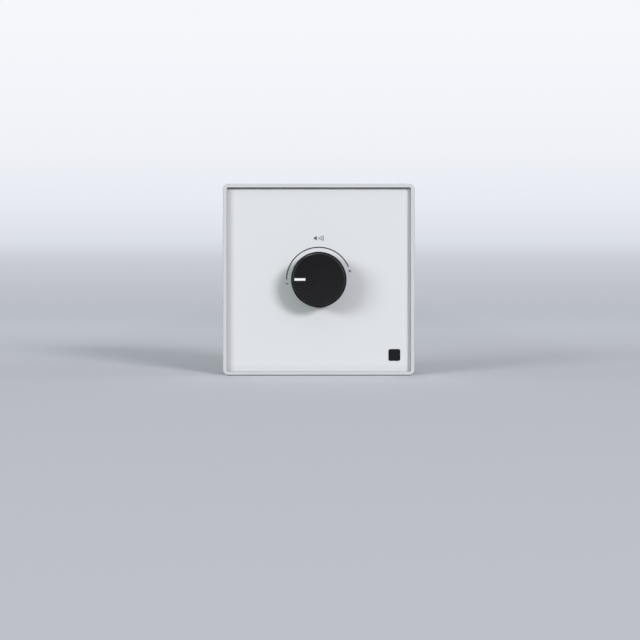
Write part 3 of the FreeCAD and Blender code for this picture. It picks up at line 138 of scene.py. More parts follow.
hang_light("key_light", (0.59, -1.0, 0.335), LIGHT_DISTANCE, size=(1.05, 0.68), power=87.0,
           colour=(1.0, 0.955, 0.993))
hang_light("fill_light", (-0.91, -1.0, 0.33), LIGHT_DISTANCE, size=(1.95, 0.84), power=65.5,
           colour=(0.961, 1.0, 0.965))
back_light = hang_light("back_light", (0.25, 1.0, 0.8), BACK_DISTANCE, size=(2.6, 2.6), power=23.0)
edge_light = hang_light("edge_light", (-0.35, -0.15, 1.0), EDGE_DISTANCE, size=(2.6, 0.25), power=30.0)
world = bpy.data.worlds.new("studio")
scene.world = world
world.use_nodes = True
sky = world.node_tree
sky.nodes.clear()
way = add_node(sky, "TexCoord").outputs["Generated"]
behind = add_node(sky, "SeparateXYZ", {0: way}).outputs["Y"]
room_shade = add_ramp(sky, grade(sky, behind, start=-1.0), ROOM_SHADES)
strength = grade(sky, behind, -1.0, ROOM_TURN, ROOM_FRONT, ROOM_BACK)
unseen_room = add_node(sky, "Background", {"Color": ROOM_LIGHT, "Strength": strength})
seen_room = add_node(sky, "Background", {"Color": room_shade, "Strength": 1.0})
room = add_node(sky, "MixShader", {0: seen_straight(sky), 1: unseen_room.outputs[0],
                                   2: seen_room.outputs[0]})
add_node(sky, "OutputWorld", {"Surface": room.outputs[0]})

# Floor: a seamless sheet that the plate stands on, which curves up far behind into a backdrop that
# fades to nearly white. Near the plate most of its shade is lit and takes the shadows. The rest is
# its own, and grows to all of it at the curve. A painted contact shadow darkens it round the plate's
# foot, and far to each side painted light fades the shadows.
FLOOR_REACH = 8.0
CURVE_START, CURVE_RADIUS, CURVE_STEPS = 1.9, 0.9, 24
WALL_HEIGHT = 4.0
FLOOR_SEEN, FLOOR_BOUNCE = (0.785, 0.785, 0.858), (0.2, 0.205, 0.21, 1)
NEAR_SHARE, LIT_COST, LIT_REACH = 0.433, -0.224, 0.5
BACKDROP_TOP = 0.66
BACKDROP_SHADES = ((0.0, (0.503, 0.524, 0.575)), (0.056, (0.539, 0.558, 0.610)),
                   (0.119, (0.591, 0.610, 0.665)), (0.186, (0.716, 0.745, 0.799)),
                   (0.327, (0.807, 0.831, 0.888)), (0.514, (0.863, 0.880, 0.930)),
                   (0.707, (0.896, 0.905, 0.956)), (1.0, (0.913, 0.930, 0.965)))
FADE_START, FADE_END, FADE_SHARE, FADE_GAIN = 130 * MM, 175 * MM, 0.22, 0.795
CONTACT_REACH, CONTACT_EDGE, CONTACT_SQUEEZE = 30 * MM, 2.6 * MM, 3
CONTACT_SHADES = ((0.0, 0.22), (0.04, 0.45), (0.12, 0.87), (0.5, 0.9), (1.0, 1.0))


def edges_in(made):
    """Pick the edges out of what an operator made."""
    return [part for part in made if isinstance(part, bmesh.types.BMEdge)]


def shift(mesh, made, way):
    """Move what an operator made."""
    points = [part for part in made if isinstance(part, bmesh.types.BMVert)]
    bmesh.ops.translate(mesh, verts=points, vec=way)


def spot_on(tree):
    """Give the place on an object as its three numbers."""
    return add_node(tree, "SeparateXYZ", {0: add_node(tree, "TexCoord").outputs["Object"]}).outputs


def dim(tree, colour, share):
    """Scale a colour by a share."""
    return add_node(tree, "VectorMath", {0: colour, "Scale": share}, operation="SCALE").outputs[0]


sheet = bmesh.new()
bmesh.ops.create_grid(sheet, x_segments=1, y_segments=1, size=FLOOR_REACH)
for corner in sheet.verts:
    corner.co.y = min(corner.co.y, CURVE_START)
    corner.co.z = frame_low.z
far_edge = max(sheet.edges, key=lambda edge: edge.verts[0].co.y + edge.verts[1].co.y)
curve = bmesh.ops.spin(sheet, geom=[far_edge, *far_edge.verts], steps=CURVE_STEPS, angle=QUARTER_TURN,
                       cent=(0, CURVE_START, frame_low.z + CURVE_RADIUS), axis=(1, 0, 0))
wall = bmesh.ops.extrude_edge_only(sheet, edges=edges_in(curve["geom_last"]))
shift(sheet, wall["geom"], (0, 0, WALL_HEIGHT))
for face in sheet.faces:
    face.smooth = True
floor_data = bpy.data.meshes.new("floor")
sheet.to_mesh(floor_data)
sheet.free()
floor = bpy.data.objects.new("floor", floor_data)
scene.collection.objects.link(floor)
unlit = bpy.data.collections.new("not_lit_from_behind")
unlit.objects.link(floor)
unlit.collection_objects[0].light_linking.link_state = "EXCLUDE"
back_light.light_linking.receiver_collection = unlit

paper = bpy.data.materials.new("floor_paper")
paper.use_nodes = True
tree = paper.node_tree
tree.nodes.clear()
place = spot_on(tree)
backdrop_shade = add_ramp(tree, grade(tree, place["Z"], frame_low.z, BACKDROP_TOP), BACKDROP_SHADES)
straight = seen_straight(tree)
lit = grade(tree, place["Y"], LIT_REACH, CURVE_START, 1.0, 0.0)
share = grade(tree, place["Y"], 0.0, CURVE_START, NEAR_SHARE, 1.0)
share = reckon(tree, "MULTIPLY_ADD", lit, LIT_COST, share)
# Painted contact shadow: the floor's colour, glow and bounce darken in a narrow band round the plate's
# foot, widest in front.
spot = add_node(tree, "TexCoord").outputs["Object"]
for operation, value in (("SUBTRACT", (0, frame_low.y / 2, 0)), ("ABSOLUTE", (0, 0, 0)),
                         ("SUBTRACT", (frame_high.x - CONTACT_EDGE, -frame_low.y / 2, 0)),
                         ("MAXIMUM", (0, 0, 0)), ("MULTIPLY", (CONTACT_SQUEEZE, 1, 0))):
    spot = add_node(tree, "VectorMath", {0: spot, 1: value}, operation=operation).outputs[0]
away = add_node(tree, "VectorMath", {0: spot}, operation="LENGTH").outputs["Value"]
contact = add_ramp(tree, reckon(tree, "DIVIDE", away, CONTACT_REACH), CONTACT_SHADES)
# Painted light: far to each side the floor's own glow takes over part of its lit shade, so the shadows
# fade there.
across = reckon(tree, "ABSOLUTE", place["X"])
lost = reckon(tree, "MULTIPLY", grade(tree, across, FADE_START, FADE_END, high=FADE_SHARE), lit)
open_share = reckon(tree, "SUBTRACT", lit, lost)
seen = dim(tree, FLOOR_SEEN, open_share)
either = add_node(tree, "Mix", {0: straight, 6: FLOOR_BOUNCE, 7: seen}, data_type="RGBA")
catch = add_node(tree, "Mix", {0: 1.0, 6: either.outputs[2], 7: contact}, data_type="RGBA",
                 blend_type="MULTIPLY")
shadow_side = add_node(tree, "BsdfDiffuse", {"Color": catch.outputs[2]})
own_share = reckon(tree, "MULTIPLY", reckon(tree, "MULTIPLY_ADD", lost, FADE_GAIN, share), straight)
own_light = reckon(tree, "MULTIPLY", own_share, contact)
own_shade = add_node(tree, "Emission", {"Color": backdrop_shade, "Strength": own_light})
both_sides = add_node(tree, "AddShader", {0: shadow_side.outputs[0], 1: own_shade.outputs[0]})
add_node(tree, "OutputMaterial", {"Surface": both_sides.outputs[0]})
floor_data.materials.append(paper)

# Bezel frame: a square frame moulded in pale grey plastic with a satin finish. Its rim stands proud
# of the face with a rolled outer edge, and snap nibs inside it grip windows in the chassis.
CORNER_RADIUS, CORNER_STEPS = 2.5 * MM, 12
RIM_WIDTH = 1.7 * MM
FRAME_WALL = 1.0 * MM
ROLLED_EDGE, FINE_EDGE = 0.42 * MM, 0.1 * MM
# Painted shade: the lip's inner walls darken to LIP_SHADE, the bottom wall only to LEDGE_SHADE, and the
# frame's lowest edge to FOOT_SHADE.
LIP_SHADE, LIP_START, LIP_END = 0.45, 0.02 * MM, 0.06 * MM
DEEP_START, DEEP_END = 0.05 * MM, 0.25 * MM
LEDGE_SHADE, LEDGE_DEPTH = 0.8, 0.05 * MM
FOOT_SHADE, FOOT_RISE = 0.15, 0.40 * MM
NIB_SIZE = Vector((7.0, 1.4, 1.0)) * MM
NIB_PLACE, NIB_DEPTH, NIB_REACH = 20.0 * MM, 2.9 * MM, 0.9 * MM
MOULDED_CLOUDS = 45.0
SHARP_ANGLE = math.radians(35)
MEETING, HAIR = 1e-7, 1e-6
SIDES = (-1, 1)


def noise(group, where, density, detail):
    """Spread a soft noise over a surface, so many times in a metre."""
    soft = add_node(group, "TexNoise", {"Vector": where, "Scale": density, "Detail": detail})
    return soft.outputs["Fac"]


def build_surface(name, pattern):
    """Build the surface group of a stuff. Its pattern mottles the colour and gloss and gives relief."""
    group = bpy.data.node_groups.new(name, "ShaderNodeTree")
    sockets = {"INPUT": ("Colour", "Shade Change", "Roughness", "Roughness Change", "Grain Size"),
               "OUTPUT": ("Colour", "Roughness", "Height")}
    for way, labels in sockets.items():
        for label in labels:
            kind = "NodeSocketColor" if label == "Colour" else "NodeSocketFloat"
            group.interface.new_socket(label, in_out=way, socket_type=kind)
    given = group.nodes.new("NodeGroupInput").outputs
    given_to = group.nodes.new("NodeGroupOutput").inputs
    where = add_node(group, "TexCoord").outputs["Object"]
    mottle, height = pattern(group, where, reckon(group, "DIVIDE", 1.0, given["Grain Size"]))
    spread = grade(group, mottle, low=-0.5, high=0.5)
    shade = reckon(group, "MULTIPLY_ADD", spread, given["Shade Change"], 1.0)
    rough = reckon(group, "MULTIPLY_ADD", spread, given["Roughness Change"], given["Roughness"])
    group.links.new(dim(group, given["Colour"], shade), given_to["Colour"])
    group.links.new(rough, given_to["Roughness"])
    group.links.new(height, given_to["Height"])
    return group


def moulded_grain(group, where, density):
    """Give a moulded plastic the fine grain of its tool and a faint cloudy shade."""
    return noise(group, where, MOULDED_CLOUDS, 3.0), noise(group, where, density, 2.0)


def make_finish(name, surface, colour, mottle, roughness, grain, patches=0.1, relief=2e-6,
                **own_values):
    """Make a material from a surface group. Mottle varies its shade and patches vary its gloss."""
    finish = bpy.data.materials.new(name)
    finish.use_nodes = True
    tree = finish.node_tree
    shader = tree.nodes["Principled BSDF"]
    group = add_node(tree, "Group", node_tree=surface)
    for socket, value in (("Colour", (*colour, 1)), ("Shade Change", mottle), ("Roughness", roughness),
                          ("Roughness Change", patches), ("Grain Size", grain)):
        group.inputs[socket].default_value = value
    tree.links.new(group.outputs["Colour"], shader.inputs["Base Color"])
    tree.links.new(group.outputs["Roughness"], shader.inputs["Roughness"])
    bump = add_node(tree, "Bump", {"Height": group.outputs["Height"], "Distance": relief})
    tree.links.new(bump.outputs["Normal"], shader.inputs["Normal"])
    for socket, value in own_values.items():
        shader.inputs[socket.replace("_", " ")].default_value = value
    return finish


def paint_shade(tree, share):
    """Darken the colour of a finish by a share that changes over it, as painted shade."""
    colour = tree.nodes["Principled BSDF"].inputs["Base Color"]
    tree.links.new(dim(tree, colour.links[0].from_socket, share), colour)


def finish_piece(mesh, name, body, slot, finish, *stands_for, eased=0):
    """Turn a shaped mesh into a piece that rides on a body and stands for its nodes, its edges eased."""
    for face in mesh.faces:
        face.smooth = True
    for edge in mesh.edges:
        edge.smooth = edge.calc_face_angle(math.pi) < SHARP_ANGLE
    data = bpy.data.meshes.new(name)
    mesh.to_mesh(data)
    mesh.free()
    data.materials.append(finish)
    piece = bpy.data.objects.new(name, data)
    scene.collection.objects.link(piece)
    if eased:
        rounding = piece.modifiers.new("eased_edges", "BEVEL")
        rounding.width = eased
        rounding.segments = 2
        rounding.limit_method = "ANGLE"
        rounding.angle_limit = SHARP_ANGLE
    piece.modifiers.new("even_shading", "WEIGHTED_NORMAL").keep_sharp = True
    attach(piece, body)
    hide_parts(*stands_for)
    return piece


def round_off(mesh, parts, radius, segments, affect="VERTICES"):
    """Round off corners or edges."""
    bmesh.ops.bevel(mesh, geom=list(parts), offset=radius, offset_type="OFFSET", segments=segments,
                    profile=0.5, affect=affect, clamp_overlap=affect == "EDGES", material=-1)


def start_outline(mesh, corners, roundings):
    """Lay a closed outline of corners, round the chosen ones, and leave only its edges."""
    points = [mesh.verts.new(corner) for corner in corners]
    mesh.faces.new(points)
    for number, radius, segments in roundings:
        round_off(mesh, [points[number]], radius, segments)
    bmesh.ops.delete(mesh, geom=mesh.faces[:], context="FACES_ONLY")


def close_up(mesh):
    """Merge what meets and point every face outwards."""
    bmesh.ops.remove_doubles(mesh, verts=mesh.verts, dist=MEETING)
    bmesh.ops.recalc_face_normals(mesh, faces=mesh.faces)


def add_block(mesh, low, high):
    """Add a closed block between two corners and return its corners."""
    low, high = Vector(low), Vector(high)
    place = Matrix.Translation((low + high) / 2) @ Matrix.Diagonal((*(high - low), 1))
    return bmesh.ops.create_cube(mesh, size=1, matrix=place)["verts"]


moulded = build_surface("moulded_plastic", moulded_grain)
half = frame_high.x
centre = half - CORNER_RADIUS
lip = half - RIM_WIDTH
inside = half - FRAME_WALL
lip_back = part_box("front_plate")[0].y
bezel = bmesh.new()
start_outline(bezel, [(half, 0, centre), (half, frame_low.y, centre), (lip, frame_low.y, centre),
                      (lip, lip_back, centre), (inside, lip_back, centre), (inside, 0, centre)],
              [(0, FINE_EDGE, 2), (1, ROLLED_EDGE, 8), (2, FINE_EDGE, 2), (5, FINE_EDGE, 2)])
side_end = bezel.edges[:]
corner = bmesh.ops.spin(bezel, geom=[*bezel.edges, *bezel.verts], cent=(centre, 0, centre),
                        axis=(0, -1, 0), angle=QUARTER_TURN, steps=CORNER_STEPS)
for end, way in ((side_end, (0, 0, -centre)), (edges_in(corner["geom_last"]), (-centre, 0, 0))):
    shift(bezel, bmesh.ops.extrude_edge_only(bezel, edges=end)["geom"], way)
for axis in ("X", "Z"):
    bmesh.ops.mirror(bezel, geom=[*bezel.verts, *bezel.edges, *bezel.faces], axis=axis, merge_dist=HAIR)
close_up(bezel)
for turn in range(4):
    for side in SIDES:
        nib = add_block(bezel, (side * NIB_PLACE - NIB_SIZE.x / 2, -NIB_DEPTH - NIB_SIZE.z / 2,
                                inside - NIB_REACH),
                        (side * NIB_PLACE + NIB_SIZE.x / 2, -NIB_DEPTH + NIB_SIZE.z / 2,
                         inside - NIB_REACH + NIB_SIZE.y))
        for point in nib:
            if point.co.y > -NIB_DEPTH and point.co.z < inside:
                point.co.z += NIB_REACH / 2
        bmesh.ops.rotate(bezel, verts=nib, matrix=Matrix.Rotation(turn * QUARTER_TURN, 3, "Y"))
frame_finish = make_finish("frame_plastic", moulded, (0.645, 0.657, 0.685), mottle=0.02,
                           roughness=0.7, grain=0.25 * MM, patches=0.06, relief=3e-6,
                           Specular_IOR_Level=0.15)
tree = frame_finish.node_tree
# Painted shade on the lip's inner walls, less on the bottom one, and along the frame's foot.
where = spot_on(tree)
reach = reckon(tree, "MAXIMUM", *(reckon(tree, "ABSOLUTE", where[axis]) for axis in ("X", "Z")))
inner = grade(tree, reach, lip + LIP_START, lip + LIP_END, LIP_SHADE, 1.0)
deep = grade(tree, where["Y"], frame_low.y + DEEP_START, frame_low.y + DEEP_END, 1.0, 0.0)
ledge = grade(tree, where["Z"], -lip, LEDGE_DEPTH - lip, LEDGE_SHADE, 0.0)
lip_painted_shade = reckon(tree, "MAXIMUM", reckon(tree, "MAXIMUM", inner, deep), ledge)
foot = grade(tree, where["Z"], frame_low.z + FINE_EDGE, frame_low.z + FOOT_RISE, FOOT_SHADE, 1.0)
paint_shade(tree, reckon(tree, "MULTIPLY", lip_painted_shade, foot))
finish_piece(bezel, "bezel", "chassis", "frame_plastic", frame_finish, "bezel_frame")

# Face plate: a flat moulded plate held behind the frame's lip, a shade lighter than the frame, with
# the arc, the minus and the plus engraved in it and filled with dark paint. Its colour darkens along
# its foot, just above the lip's ledge, as painted shade.
LEDGE_PAINTED_SHADE, PAINTED_SHADE_RISE = 0.84, 3.6 * MM


def coat(finish, *nodes):
    """Give carried-over pieces their finish."""
    for node in nodes:
        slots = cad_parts[node].data.materials
        slots.clear()
        slots.append(finish)


plate_finish = make_finish("plate_plastic", moulded, (0.745, 0.757, 0.787), mottle=0.012,
                           roughness=0.5, grain=0.22 * MM, patches=0.05, relief=2.5e-6)
tree = plate_finish.node_tree
# Painted shade: the plate's colour darkens towards the lip's ledge below it.
paint_shade(tree, grade(tree, spot_on(tree)["Z"], -lip, PAINTED_SHADE_RISE - lip, LEDGE_PAINTED_SHADE, 1.0))
coat(plate_finish, "front_plate")
coat(make_finish("mark_paint", moulded, (0.012, 0.012, 0.014), mottle=0.2, roughness=0.55,
                 grain=0.1 * MM, Specular_IOR_Level=0.2), "scale_marks")

# Volume sign: a small loudspeaker with three sound waves above the knob, printed on the face in one
# thin film of dark grey ink.
SIGN_HEIGHT, SIGN_LEFT = 18.6 * MM, -2.2 * MM
SPEAKER = ((0, 0.45), (0.55, 0.45), (1.3, 1.1))
INK_FILM = 0.015 * MM
WAVE_CENTRE, WAVE_RADII = -1.15 * MM, (1.3 * MM, 2.2 * MM, 3.1 * MM)
WAVE_STROKE, WAVE_ANGLE, WAVE_STEPS = 0.36 * MM, math.radians(23), 16
sign = bmesh.new()
outline = [*SPEAKER, *((across, -up) for across, up in reversed(SPEAKER))]
sign.faces.new([sign.verts.new((SIGN_LEFT + across * MM, 0, SIGN_HEIGHT + up * MM))
                for across, up in outline])
middle = (WAVE_CENTRE, 0, SIGN_HEIGHT)
for radius in WAVE_RADII:
    ends = [sign.verts.new((WAVE_CENTRE + radius + side * WAVE_STROKE / 2, 0, SIGN_HEIGHT))
            for side in SIDES]
    bmesh.ops.rotate(sign, verts=ends, cent=middle, matrix=Matrix.Rotation(WAVE_ANGLE, 3, "Y"))
    bmesh.ops.spin(sign, geom=[*ends, sign.edges.new(ends)], cent=middle, axis=(0, 1, 0),
                   angle=-2 * WAVE_ANGLE, steps=WAVE_STEPS)
film = bmesh.ops.extrude_face_region(sign, geom=sign.faces[:], use_keep_orig=True)["geom"]
bmesh.ops.translate(sign, verts=sign.verts, vec=(0, lip_back + INK_FILM, 0))
shift(sign, film, (0, -2 * INK_FILM, 0))
close_up(sign)
ink_finish = make_finish("sign_ink", moulded, (0.06, 0.06, 0.066), mottle=0.3, roughness=0.6,
                         grain=0.08 * MM)
finish_piece(sign, "volume_sign", "chassis", "mark_paint", ink_finish)

# Corner badge: a small square of glossy near-black plastic let into the lower right of the face,
# left plain, with softly rounded corners and edges.
BADGE_CORNER, BADGE_EDGE = 0.95 * MM, 0.12 * MM


def lay_outline(mesh, low, high, radius, y, segments=8):
    """Lay a flat face with round corners, facing the room, over a box seen from the front."""
    middle = Vector(((low.x + high.x) / 2, y, (low.z + high.z) / 2))
    place = (Matrix.Translation(middle) @ Matrix.Rotation(QUARTER_TURN, 4, "X")
             @ Matrix.Diagonal((high.x - low.x, high.z - low.z, 1, 1)))
    grid = bmesh.ops.create_grid(mesh, x_segments=1, y_segments=1, size=0.5, matrix=place)["verts"]
    round_off(mesh, grid, radius, segments)
    return min(mesh.faces, key=lambda face: (face.calc_center_median() - middle).length)


def raise_block(mesh, low, high, start, end, corner, edge, steps=(8, 3)):
    """Raise a block with round corners from one depth to another, where its edges are rounded too."""
    foot = lay_outline(mesh, low, high, corner, start, steps[0])
    made = bmesh.ops.extrude_face_region(mesh, geom=[foot], use_keep_orig=True)["geom"]
    shift(mesh, made, (0, end - start, 0))
    close_up(mesh)
    head = next(part for part in made if isinstance(part, bmesh.types.BMFace))
    round_off(mesh, head.edges, edge, steps[1], "EDGES")


badge_low, badge_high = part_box("corner_badge")
badge = bmesh.new()
raise_block(badge, badge_low, badge_high, badge_high.y, badge_low.y, BADGE_CORNER, BADGE_EDGE)
badge_finish = make_finish("badge_plastic", moulded, (0.004, 0.004, 0.005), mottle=0.1,
                           roughness=0.16, grain=0.4 * MM, patches=0.06, relief=1e-6,
                           Specular_IOR_Level=0.35)
finish_piece(badge, "badge", "chassis", "badge_plastic", badge_finish, "corner_badge")

# Knob: a hollow turned-looking knob moulded in black plastic, tapering to a flat front. Fingers have
# polished its rounded front edge, and the skirt stays matt. It pushes on to the shaft's flat, and
# a white bar is let into its front.
KNOB_BASE_RADIUS, KNOB_FRONT_RADIUS, KNOB_STEPS = 12.5 * MM, 11.6 * MM, 144
KNOB_EDGE, SKIRT_EDGE = 0.42 * MM, 0.15 * MM
KNOB_WALL, KNOB_ROOF, ROOF_FILLET = 1.5 * MM, 1.8 * MM, 0.6 * MM
BOSS_RADIUS, BOSS_SETBACK = 4.8 * MM, 0.6 * MM
BOSS_FILLET, BOSS_EDGE = 0.4 * MM, 0.2 * MM
BORE_RADIUS, BORE_FLAT, BORE_ROOF = 3.02 * MM, 1.52 * MM, 3.0 * MM
SEAT_GAP, SEAT_OUTER_GAP = 0.18 * MM, 0.15 * MM
GLOSS_WIDTH = 2 * MM
KNOB_GLOSS = ((-0.48 * MM, 0.12), (-0.36 * MM, 0.36), (-0.22 * MM, 0.36), (-0.14 * MM, 0.22),
              (-0.03 * MM, 0.22))
ON_PLANE = 1e-8


def front_faces(mesh, front):
    """List the faces that lie in the flat front of a mesh."""
    return [face for face in mesh.faces if face.calc_center_median().y < front + HAIR]


def reach_from_axis(tree, place):
    """Measure how far a place is from the knob's axis."""
    flat = add_node(tree, "CombineXYZ", {0: place["X"], 2: place["Z"]})
    return add_node(tree, "VectorMath", {0: flat.outputs[0]}, operation="LENGTH").outputs["Value"]


knob_low, knob_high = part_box("knob_body")
pointer_low, pointer_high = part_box("knob_pointer")
roof, bore_end, boss_end = knob_low.y + KNOB_ROOF, knob_low.y + BORE_ROOF, knob_high.y - BOSS_SETBACK
knob = bmesh.new()
start_outline(knob, [(0, knob_low.y, 0), (KNOB_FRONT_RADIUS, knob_low.y, 0),
                     (KNOB_BASE_RADIUS, knob_high.y, 0), (KNOB_BASE_RADIUS - KNOB_WALL, knob_high.y, 0),
                     (KNOB_FRONT_RADIUS - KNOB_WALL, roof, 0), (BOSS_RADIUS, roof, 0),
                     (BOSS_RADIUS, boss_end, 0), (BORE_RADIUS, boss_end, 0), (BORE_RADIUS, bore_end, 0),
                     (0, bore_end, 0)],
              [(1, KNOB_EDGE, 8), (2, SKIRT_EDGE, 2), (3, SKIRT_EDGE, 2), (4, ROOF_FILLET, 4),
               (5, BOSS_FILLET, 3), (6, BOSS_EDGE, 2), (7, BOSS_EDGE, 2)])
on_axis = [edge for edge in knob.edges if all(abs(point.co.x) < HAIR for point in edge.verts)]
bmesh.ops.delete(knob, context="EDGES", geom=on_axis)
bmesh.ops.spin(knob, geom=[*knob.verts, *knob.edges], cent=(0, 0, 0), axis=(0, 1, 0), angle=math.tau,
               steps=KNOB_STEPS, use_merge=True)
close_up(knob)
for point in knob.verts:
    if math.hypot(point.co.x, point.co.z) < BORE_RADIUS + FINE_EDGE / 4 and point.co.y > roof:
        point.co.z = min(point.co.z, BORE_FLAT)
bmesh.ops.dissolve_faces(knob, faces=front_faces(knob, knob_low.y))
for point, way in (((pointer_low.x - SEAT_OUTER_GAP, 0, 0), (1, 0, 0)),
                   ((pointer_high.x + SEAT_GAP, 0, 0), (1, 0, 0)),
                   ((0, 0, pointer_low.z - SEAT_GAP), (0, 0, 1)),
                   ((0, 0, pointer_high.z + SEAT_GAP), (0, 0, 1))):
    touched = {part for face in front_faces(knob, knob_low.y)
               for part in (face, *face.edges, *face.verts)}
    bmesh.ops.bisect_plane(knob, geom=list(touched), dist=ON_PLANE, plane_co=point, plane_no=way)
pointer_middle = (pointer_low + pointer_high) / 2
seat = min(front_faces(knob, knob_low.y),
           key=lambda face: (face.calc_center_median() - pointer_middle).length)
sunk = bmesh.ops.extrude_face_region(knob, geom=[seat])["geom"]
bmesh.ops.delete(knob, geom=[seat], context="FACES_ONLY")
shift(knob, sunk, (0, pointer_high.y - pointer_low.y, 0))
bmesh.ops.recalc_face_normals(knob, faces=knob.faces)
knob_finish = make_finish("knob_plastic", moulded, (0.0080, 0.0080, 0.0085), mottle=0.2,
                          roughness=0.0, grain=0.2 * MM, patches=0.04, relief=1e-6,
                          Specular_IOR_Level=0.3)
tree = knob_finish.node_tree
gloss_start = KNOB_FRONT_RADIUS - GLOSS_WIDTH
zone = grade(tree, reach_from_axis(tree, spot_on(tree)), gloss_start, KNOB_BASE_RADIUS)
gloss = add_ramp(tree, zone, [((distance + GLOSS_WIDTH) / (KNOB_BASE_RADIUS - gloss_start), level)
                              for distance, level in KNOB_GLOSS])
shader = tree.nodes["Principled BSDF"]
shader.distribution = "GGX"
matt = reckon(tree, "ADD", shader.inputs["Roughness"].links[0].from_socket, gloss)
tree.links.new(matt, shader.inputs["Roughness"])
skirt_finish = make_finish("knob_skirt_plastic", moulded, (0.011, 0.011, 0.012), mottle=0.25,
                           roughness=0.75, grain=0.3 * MM, relief=6e-6, Specular_IOR_Level=0.0)
for face in knob.faces:
    face.material_index = face.calc_center_median().y > knob_low.y + KNOB_EDGE
knob_piece = finish_piece(knob, "knob", "knob", "knob_plastic", knob_finish, "knob_body")
knob_piece.data.materials.append(skirt_finish)
edge_lit = bpy.data.collections.new("lit_from_overhead")
edge_lit.objects.link(knob_piece)
edge_light.light_linking.receiver_collection = edge_lit
edge_light.visible_diffuse = False

# Pointer: a bar moulded in white plastic with finely rounded edges, pressed into its seat so that it
# lies flush with the knob's front.
BAR_EDGE = 0.06 * MM
bar = bmesh.new()
add_block(bar, pointer_low, pointer_high)
round_off(bar, bar.edges, BAR_EDGE, 2, "EDGES")
pointer_finish = make_finish("pointer_plastic", moulded, (0.93, 0.93, 0.94), mottle=0.02,
                             roughness=0.45, grain=0.15 * MM, patches=0.05)
finish_piece(bar, "pointer", "knob", "pointer_plastic", pointer_finish, "knob_pointer")

# Spring ring: a split ring rolled from blued spring steel, round the knob's slit boss, which it
# presses on to the flat of the shaft.
STREAK_STRETCH = (0.07, 1.0, 1.0)
STREAK_CLOUDS, RING_CLOUDS = 160.0, 220.0
BLOOM_LOW, BLOOM_HIGH = 0.6, 1.4


def drawn_streaks(group, where, density):
    """Give rolled or drawn metal fine streaks along X and a cloudy bloom."""
    along = add_node(group, "VectorMath", {0: where, 1: STREAK_STRETCH}, operation="MULTIPLY")
    streak = noise(group, along.outputs[0], density, 3.0)
    both = reckon(group, "ADD", noise(group, where, STREAK_CLOUDS, 4.0), streak)
    return grade(group, both, BLOOM_LOW, BLOOM_HIGH), streak


def turned_rings(group, where, density):
    """Give a turned piece the fine rings that the tool leaves round its axis."""
    place = add_node(group, "SeparateXYZ", {0: where}).outputs
    lay = add_node(group, "CombineXYZ", {0: reach_from_axis(group, place), 1: place["Y"]})
    return noise(group, where, RING_CLOUDS, 3.0), noise(group, lay.outputs[0], density, 2.0)


def metal_finish(name, surface, colour, roughness, grain=0.12 * MM, mottle=0.12, patches=0.12,
                 relief=1e-6):
    """Make the finish of a bare or plated metal."""
    return make_finish(name, surface, colour, mottle, roughness, grain, patches, relief, Metallic=1.0)


drawn = build_surface("drawn_metal", drawn_streaks)
turned = build_surface("turned_metal", turned_rings)
spring_finish = metal_finish("spring_steel", drawn, (0.34, 0.35, 0.38), 0.32)
coat(spring_finish, "knob_spring_clip")

# Mounting chassis: a square tray pressed from zinc-plated steel sheet, with four flanges bent up at
# its sides. Windows in them take the frame's nibs, and slots in its floor take the wall screws.
SHEET, SHEET_CORNER, TRAY_EDGE = 1.2 * MM, 1.2 * MM, 0.08 * MM
BEND_RADIUS, BEND_RELIEF, BEND_STEPS = 1.5 * MM, 0.5 * MM, 6
FLANGE_END = 6.0 * MM
LONG_SHARE = 0.95
NIB_WINDOW = Vector((7.5, 1.5)) * MM
BUSHING_HOLE = 3.6 * MM
KEY_HOLE, KEY_HOLE_SIZE = Vector((0, 0, 6.6)) * MM, Vector((3.2, 0, 1.6)) * MM
WALL_SLOT_PLACE, WALL_SLOT_WIDTH, WALL_SLOT_LENGTH = 30.15 * MM, 4.0 * MM, 6.5 * MM
SCREW_PLACE, SCREW_HOLE = 19.3 * MM, 1.4 * MM
FOUR_CORNERS = ((1, 1), (-1, 1), (-1, -1), (1, -1))
FACING_ROOM = Matrix.Rotation(QUARTER_TURN, 4, "X")
BACKWARD, FORWARD, UPWARD, DOWNWARD = (0, 1, 0), (0, -1, 0), (0, 0, 1), (0, 0, -1)
NEARLY_SQUARE = 0.9


def lay_rectangle(mesh, middle, size):
    """Lay the four edges of an upright rectangle whose size is flat along one axis."""
    middle, size = Vector(middle), Vector(size)
    first, second = (axis for axis in range(3) if size[axis] > 0)
    corners = []
    for across, along in ((-1, -1), (1, -1), (1, 1), (-1, 1)):
        point = middle.copy()
        point[first] += across * size[first] / 2
        point[second] += along * size[second] / 2
        corners.append(mesh.verts.new(point))
    return [mesh.edges.new((corner, corners[number - 1])) for number, corner in enumerate(corners)]


def lay_ring(mesh, middle, radius, segments=32, turn=FACING_ROOM):
    """Lay a ring of edges round a middle."""
    half_step = Matrix.Rotation(math.pi / segments, 4, "Z")
    ring = bmesh.ops.create_circle(mesh, segments=segments, radius=radius,
                                   matrix=Matrix.Translation(middle) @ turn @ half_step)["verts"]
    return list({edge for point in ring for edge in point.link_edges})


def ends_of(edges):
    """List the points of a set of edges, each once."""
    return list({point for edge in edges for point in edge.verts})


def fill_flat(mesh, edges, normal):
    """Fill a flat outline, leaving the loops inside it open."""
    bmesh.ops.triangle_fill(mesh, edges=edges, use_beauty=True, use_dissolve=False, normal=normal)


def run_edges(mesh, edges, way):
    """Draw a loop of edges out into a wall and return its far loop."""
    made = bmesh.ops.extrude_edge_only(mesh, edges=edges)["geom"]
    shift(mesh, made, way)
    return [edge for edge in edges_in(made) if edge.is_boundary]


